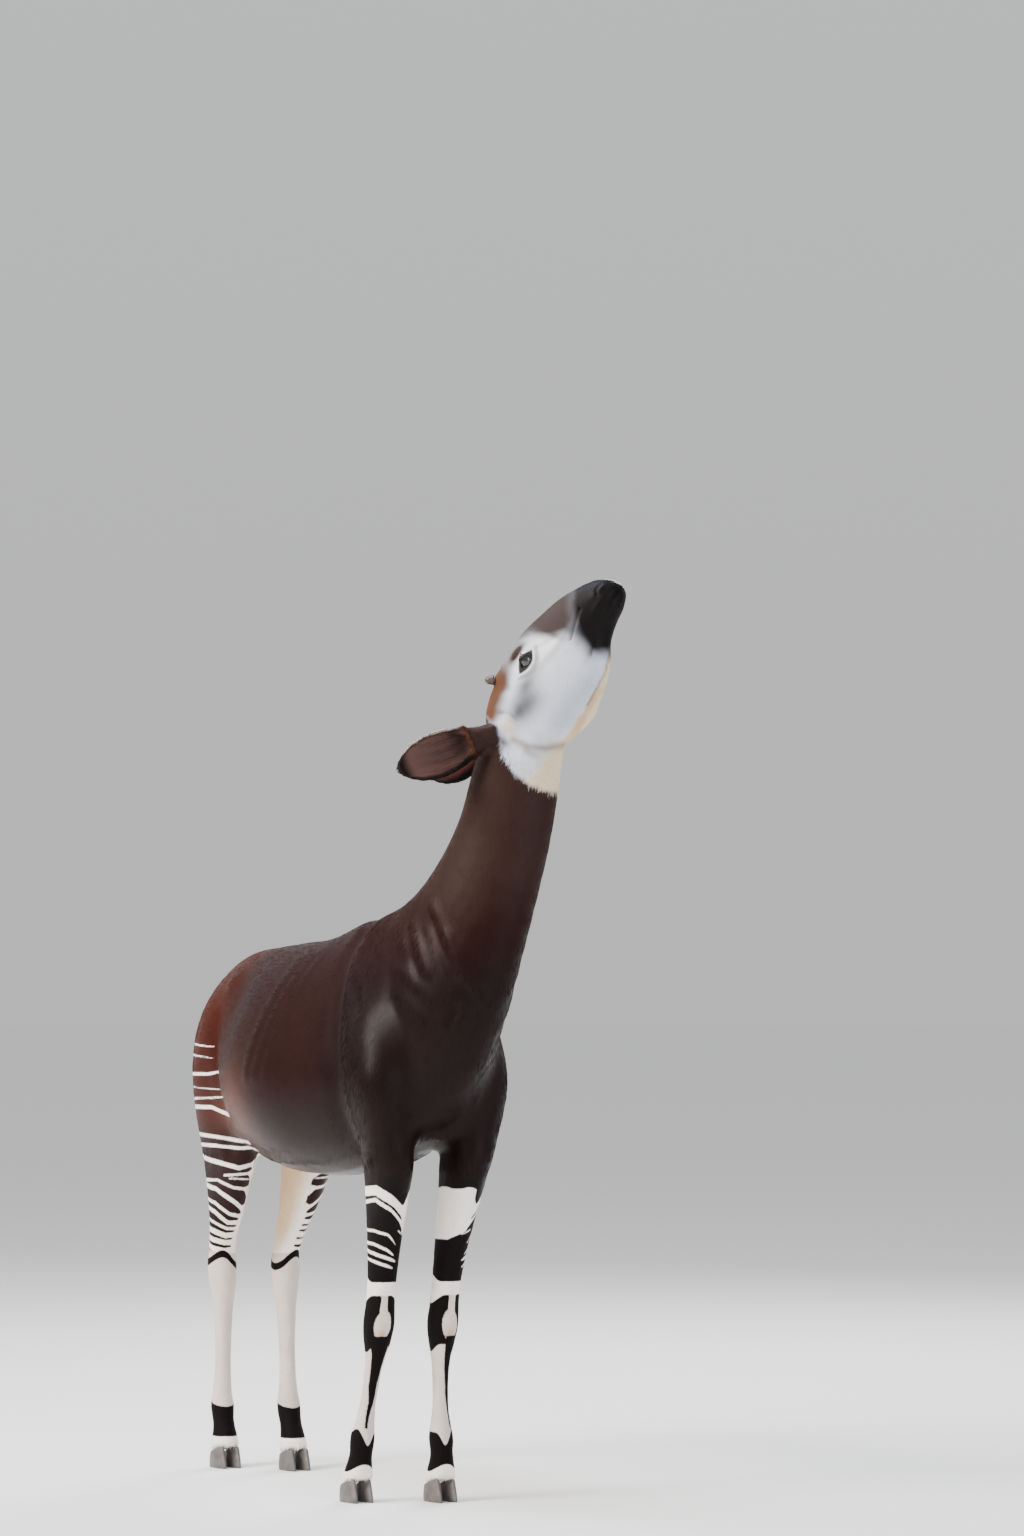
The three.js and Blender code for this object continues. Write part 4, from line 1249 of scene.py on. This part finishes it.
def ear_marks(points, normals, side):
    """Brown back, pink brown streaked cup with painted shade deep in it, black tip and lower edge, and a thin
    pale upper rim.
    """
    along, up, behind = on_ear(points, side)
    facing = -(normals @ HEAD_AXES) @ ear_axes(side)[3]
    edge = up / np.interp(along, *EAR_WIDE)
    cup = smooth(-0.05, 0.35, facing) * smooth(0.30, 0.36, along)
    ground = Ground(len(points), "ear_back")
    ground.paint("brow", smooth(0.55, 0.1, along) * 0.5)
    ground.paint("ear_cup", cup)
    streak = 0.5 + 0.5 * np.sin(up / 3.1 + 2.2 * np.sin(along * 9)) * np.sin(up / 1.7 + 3)
    ground.paint("muzzle", cup * (0.25 + 0.4 * smooth(0.5, 0.9, streak)) * smooth(0.95, 0.45, along))
    # Painted shade deep in the cup, darker towards the root.
    ground.paint("muzzle", cup * smooth(0.52, 0.32, along) * 0.75)
    black = np.maximum(smooth(0.84, 0.95, along), smooth(-0.68, -0.88, edge))
    ground.paint("muzzle", black * smooth(0.2, 0.35, along) * 0.92)
    ground.paint("muzzle", smooth(0.80, 0.88, edge) * cup * 0.8)
    rim = smooth(0.90, 0.97, edge) * smooth(0.3, 0.4, along) * smooth(0.97, 0.85, along)
    ground.paint("ear_rim", rim * 0.9)
    marks = plain_marks(ground, np.full(len(points), 0.8))
    marks["lie"] = np.stack([along * EAR_REACH / HAIR_STRETCH, up, behind], axis=1) / 1000
    return marks


def ear_cover(points, side):
    """How thickly hair grows at points of an ear: more at its edges, and at its root."""
    along, up, _ = on_ear(points, side)
    edge = np.abs(up) / np.interp(along, *EAR_WIDE)
    return 1 + 5 * smooth(0.8, 0.95, edge) + 2 * smooth(0.55, 0.35, along)


class OKAPI_OT_ears(bpy.types.Operator):
    """Two large cupped ears with fringed edges"""

    bl_idname = "okapi.ears"
    bl_label = "Okapi Ears"

    def execute(self, context):
        material = coat_material("ear_velvet")
        for word, side in SIDES.items():
            node = f"ear_{word}"
            root, out, across, _ = ear_axes(side)
            mesh = remeshed(joined_copy([node], 0.0), sizes().ear_voxel)
            points = relax(read(mesh), edges_of(mesh), 1.0, 6)
            local = on_head(points) - root
            # The root goes on a little way into the head, so that no gap shows.
            sink = smooth(96, 84, local @ out) * 9
            points = from_head(on_head(points) - np.outer(sink, out))
            write(mesh, points)
            for name, values in ear_marks(points, read(mesh, "normal"), side).items():
                set_attribute(mesh, name, values)
            ear = piece(f"okapi_{node}", mesh, material)
            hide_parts(node)

            rng = np.random.default_rng(21)
            count = EAR_LOCKS
            roots, normals = sampled(mesh, count, lambda points: ear_cover(points, side), rng)
            along, up, behind = on_ear(roots, side)
            edge = up / np.interp(along, *EAR_WIDE)
            lie = np.tile(HEAD_AXES @ out, (count, 1))
            lie = lie - np.outer(np.sign(edge) * smooth(0.6, 0.95, np.abs(edge)) * 0.5, HEAD_AXES @ across)
            fringe = smooth(0.8, 0.95, np.abs(edge))
            length = rng.uniform(0.006, 0.010, count) * (1 + 0.6 * fringe)
            width = rng.uniform(0.0008, 0.0015, count)
            lift = rng.uniform(0.04, 0.2, count)
            marks = ear_marks(roots, normals, side)
            places = np.stack([along, np.arctan2(up, behind) / (2 * np.pi) + 0.5], axis=1)
            name = f"okapi_ear_hair_{word}"
            mesh, per = locks(name, roots, normals, lie, length, width, lift, places, rng)
            dress_locks(mesh, per, roots, rng, marks)
            piece(name, mesh, material)
        return {"FINISHED"}


def ossicone_material():
    """Dark skin worn thin over bone: uneven and dully polished."""
    return two_tone("worn_ossicone_skin", ("#2a1b19", "#4d3833"), 260.0, 4.0, 0.42, bump=0.25).material


class OKAPI_OT_ossicones(bpy.types.Operator):
    """Two short knobs of bone under dark skin"""

    bl_idname = "okapi.ossicones"
    bl_label = "Okapi Ossicones"

    def execute(self, context):
        material = ossicone_material()
        for word in SIDES:
            node = f"ossicone_{word}"
            mesh = remeshed(joined_copy([node], 0.0), sizes().knob_voxel)
            write(mesh, relax(read(mesh), edges_of(mesh), 1.0, 5))
            knob = piece(f"okapi_{node}", mesh, material)
            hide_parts(node)
        return {"FINISHED"}


def eye_material():
    """Wet eyeball: near black iris under a clear cornea, smooth and glossy."""
    n = Nodes("wet_dark_eye")
    n.shader.inputs["Base Color"].default_value = linear("#120b09")
    n.shader.inputs["Roughness"].default_value = 0.06
    n.shader.inputs["Coat Weight"].default_value = 1.0
    n.shader.inputs["Coat Roughness"].default_value = 0.03
    return n.material


class OKAPI_OT_eyes(bpy.types.Operator):
    """Two large dark eyes"""

    bl_idname = "okapi.eyes"
    bl_label = "Okapi Eyes"

    def execute(self, context):
        material = eye_material()
        for word in SIDES:
            centre = centre_of(f"eye_{word}")
            bm = bmesh.new()
            place = Matrix.Translation(centre) @ HEAD.to_3x3().to_4x4() @ Matrix.Rotation(math.pi / 2, 4, "X")
            ball = {"u_segments": 48, "v_segments": 32, "radius": EYE_RADIUS / 1000}
            bmesh.ops.create_uvsphere(bm, matrix=place, **ball)
            eye = piece(f"okapi_eye_{word}", made_mesh(bm, f"okapi_eye_{word}"), material)
            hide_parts(f"eye_{word}")
        return {"FINISHED"}


def on_eyeball(along, across, reach, side):
    """A point near the eyeball by its place over the opening and its distance, in the row frame."""
    tilt = math.radians(LID_TILT)
    x = along * np.cos(tilt) - across * np.sin(tilt) + LID_AT[0]
    z = along * np.sin(tilt) + across * np.cos(tilt) + LID_AT[1]
    y = np.sqrt(np.maximum(reach**2 - x**2 - z**2, 1.0))
    centre = np.array([EYE_AT.x, EYE_AT.y * side, EYE_AT.z])
    return from_head(np.stack([x, y * side, z], axis=-1) + centre)


def opening(turn):
    """The edge of the almond opening between the lids, along it and across it, in millimetres."""
    c, s = np.cos(turn), np.sin(turn)
    return sizes().eye_long * 1000 * c, sizes().eye_high * 1000 * s * np.abs(s)


def lid_material():
    """Wet bare skin of the lids: near black, pebbled, with a damp gloss."""
    return two_tone("wet_lid_skin", ("#0c0809", "#2b2224"), 700.0, 3.0, 0.32, bump=0.4).material


LASHES = 90


class OKAPI_OT_lids(bpy.types.Operator):
    """Dark rims of the lids, and lashes on the upper ones"""

    bl_idname = "okapi.lids"
    bl_label = "Okapi Lids"

    def execute(self, context):
        material = lid_material()
        for word, side in SIDES.items():
            bm = bmesh.new()
            bmesh.ops.create_grid(bm, x_segments=72, y_segments=10, size=1)
            turn = np.array([(v.co.x + 1) * math.pi for v in bm.verts])
            roll = np.array([(v.co.y + 1) * math.pi for v in bm.verts])
            along, across = opening(turn)
            thick = 1.5 + 0.9 * np.maximum(np.sin(turn), 0)
            wide = 1 + (thick * np.cos(roll) + 1.2) / np.maximum(np.hypot(along, across), 9)
            reach = EYE_RADIUS + 1.1 + thick * 0.8 * np.sin(roll)
            for v, at in zip(bm.verts, on_eyeball(along * wide, across * wide, reach, side)):
                v.co = at
            bmesh.ops.remove_doubles(bm, verts=bm.verts, dist=1e-6)
            bmesh.ops.recalc_face_normals(bm, faces=bm.faces)
            piece(f"okapi_lids_{word}", made_mesh(bm, f"okapi_lids_{word}"), material)

            rng = np.random.default_rng(7)
            turn = rng.uniform(0.12, 0.88, LASHES) * math.pi
            along, across = opening(turn)
            roots = on_eyeball(along * 1.12, across * 1.16, EYE_RADIUS + 2.4, side)
            tips = on_eyeball(along * 1.5, across * 1.65, EYE_RADIUS + 16, side)
            centre = from_head(np.array([[EYE_AT.x, EYE_AT.y * side, EYE_AT.z]]))
            length = rng.uniform(0.008, 0.014, LASHES)
            width, lift = np.full(LASHES, 0.0007), np.full(LASHES, 0.75)
            name, out, places = f"okapi_lashes_{word}", unit(roots - centre), unwrap(roots)
            mesh, _ = locks(name, roots, out, tips - roots, length, width, lift, places, rng, stations=3)
            piece(name, mesh, material)
        return {"FINISHED"}


def tail_material():
    """Coarse tail hair: near black, with long fine strands that run down it."""
    tones = ("#070405", "#2a1a17")
    return two_tone("coarse_tail_hair", tones, 900.0, 2.0, 0.4, stretch=(1, 1, 0.06)).material


TUFT_LOCKS = 1500


class OKAPI_OT_tail_tuft(bpy.types.Operator):
    """Dark tuft of hair at the end of the tail"""

    bl_idname = "okapi.tail_tuft"
    bl_label = "Okapi Tail Tuft"

    def execute(self, context):
        low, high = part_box("tail_tuft")
        rng = np.random.default_rng(3)
        count = TUFT_LOCKS
        turn = rng.random(count) * 2 * np.pi
        drop = rng.random(count) ** 1.3
        out = np.stack([np.cos(turn), np.sin(turn), np.zeros(count)], axis=1)
        ring = 0.011 * (1 - 0.5 * drop)
        roots = np.array(centre_of("tail_tuft")) + out * ring[:, None]
        roots[:, 2] = high[2] + 0.012 - drop * 0.07
        length = (roots[:, 2] - low[2]) * rng.uniform(0.7, 1.0, count)
        down = np.tile([0.0, 0.0, -1.0], (count, 1))
        places = np.stack([turn / (2 * np.pi), drop], axis=1)
        width = rng.uniform(0.0016, 0.0034, count)
        lift = rng.uniform(0.0, 0.10, count)
        name, bend = "okapi_tail_tuft", {"stations": 6, "yaw": 0.05, "sway": 0.03}
        mesh, _ = locks(name, roots, out, down, length, width, lift, places, rng, **bend)
        tuft = piece(name, mesh, tail_material())
        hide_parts("tail_tuft")
        return {"FINISHED"}


# The view of the photo: 25 degrees off the animal's line, far off, and about at the height of its back.
VIEW_TURN = math.radians(65)
VIEW_ASIDE = 0.495
VIEW_AWAY = 13.217
VIEW_HEIGHT = 1.45
VIEW_TILT = math.radians(2.0)
LENS = 115.5
# Soft lights: name, turn from the view in degrees, height and distance in metres, power, size and colour.
LAMPS = [
    ("key_softbox", -62, 5.5, 6.5, 1150, 3.0, "#fff8ef"),
    ("fill_softbox", 35, 3.0, 8.0, 330, 4.5, "#eef2ff"),
    ("rim_softbox", 160, 5.0, 5.5, 480, 2.5, "#ffffff"),
    ("top_softbox", -90, 6.5, 2.0, 480, 3.0, "#e6ecff"),
]
AIM_HEIGHT = 1.2


def lamp(scene, name, turn, height, away, power, size, colour):
    light = bpy.data.lights.new(name, "AREA")
    light.energy = power
    light.size = size
    light.color = linear(colour)[:3]
    made = bpy.data.objects.new(name, light)
    scene.collection.objects.link(made)
    angle = VIEW_TURN + math.radians(turn)
    made.location = (math.sin(angle) * away, -math.cos(angle) * away, height)
    aim = Vector((0, 0, AIM_HEIGHT)) - made.location
    made.rotation_euler = aim.to_track_quat("-Z", "Y").to_euler()


class OKAPI_OT_stage(bpy.types.Operator):
    """Camera, soft lights, pale floor and backdrop"""

    bl_idname = "okapi.stage"
    bl_label = "Okapi Stage"

    def execute(self, context):
        scene = context.scene
        right = Vector((math.cos(VIEW_TURN), math.sin(VIEW_TURN), 0))
        back = Vector((math.sin(VIEW_TURN), -math.cos(VIEW_TURN), 0))
        spot = right * VIEW_ASIDE + back * VIEW_AWAY + Vector((0, 0, VIEW_HEIGHT)) - BODY_SHIFT
        data = bpy.data.cameras.new("photo_view")
        data.lens = LENS
        data.clip_end = 200
        camera = bpy.data.objects.new("photo_view", data)
        scene.collection.objects.link(camera)
        camera.location = spot
        camera.rotation_euler = (math.pi / 2 + VIEW_TILT, 0, VIEW_TURN)
        scene.camera = camera

        for row in LAMPS:
            lamp(scene, *row)

        world = bpy.data.worlds.new("studio")
        scene.world = world
        world.use_nodes = True
        tree = world.node_tree
        up = tree.nodes.new("ShaderNodeSeparateXYZ")
        tree.links.new(tree.nodes.new("ShaderNodeTexCoord").outputs["Generated"], up.inputs[0])
        ramp = tree.nodes.new("ShaderNodeValToRGB")
        ramp.color_ramp.elements[0].color = linear("#d6d7d6")
        ramp.color_ramp.elements[1].color = linear("#f6f8ff")
        tree.links.new(up.outputs["Z"], ramp.inputs[0])
        tree.links.new(ramp.outputs[0], tree.nodes["Background"].inputs["Color"])
        tree.nodes["Background"].inputs["Strength"].default_value = 0.95

        bm = bmesh.new()
        bmesh.ops.create_circle(bm, cap_ends=True, segments=96, radius=70)
        floor_mesh = made_mesh(bm, "studio_floor")
        floor = bpy.data.objects.new("studio_floor", floor_mesh)
        scene.collection.objects.link(floor)
        n = Nodes("matte_studio_floor")
        n.shader.inputs["Base Color"].default_value = linear("#e4e3df")
        n.shader.inputs["Roughness"].default_value = 0.9
        floor_mesh.materials.append(n.material)
        return {"FINISHED"}


class OKAPI_PT_panel(bpy.types.Panel):
    """Lists the okapi's sizes, colours and pieces"""

    bl_label = "Okapi"
    bl_idname = "OKAPI_PT_panel"
    bl_space_type = "VIEW_3D"
    bl_region_type = "UI"
    bl_category = "Okapi"

    def draw(self, context):
        for group in (context.scene.okapi_sizes, context.scene.okapi_colours):
            for name in group.__annotations__:
                self.layout.prop(group, name)
        for operator in OPERATORS:
            self.layout.operator(operator.bl_idname)


OPERATORS = (
    OKAPI_OT_skin,
    OKAPI_OT_coat,
    OKAPI_OT_hooves,
    OKAPI_OT_ears,
    OKAPI_OT_ossicones,
    OKAPI_OT_eyes,
    OKAPI_OT_lids,
    OKAPI_OT_tail_tuft,
    OKAPI_OT_stage,
)
GROUPS = (OkapiSizes, OkapiColours)


def register():
    for made in (*GROUPS, *OPERATORS, OKAPI_PT_panel):
        bpy.utils.register_class(made)
    bpy.types.Scene.okapi_sizes = bpy.props.PointerProperty(type=OkapiSizes)
    bpy.types.Scene.okapi_colours = bpy.props.PointerProperty(type=OkapiColours)


def unregister():
    del bpy.types.Scene.okapi_colours
    del bpy.types.Scene.okapi_sizes
    for made in reversed((*GROUPS, *OPERATORS, OKAPI_PT_panel)):
        bpy.utils.unregister_class(made)


def main():
    register()
    for operator in OPERATORS:
        getattr(bpy.ops.okapi, operator.bl_idname.removeprefix("okapi."))()


if __name__ == "__main__":
    main()
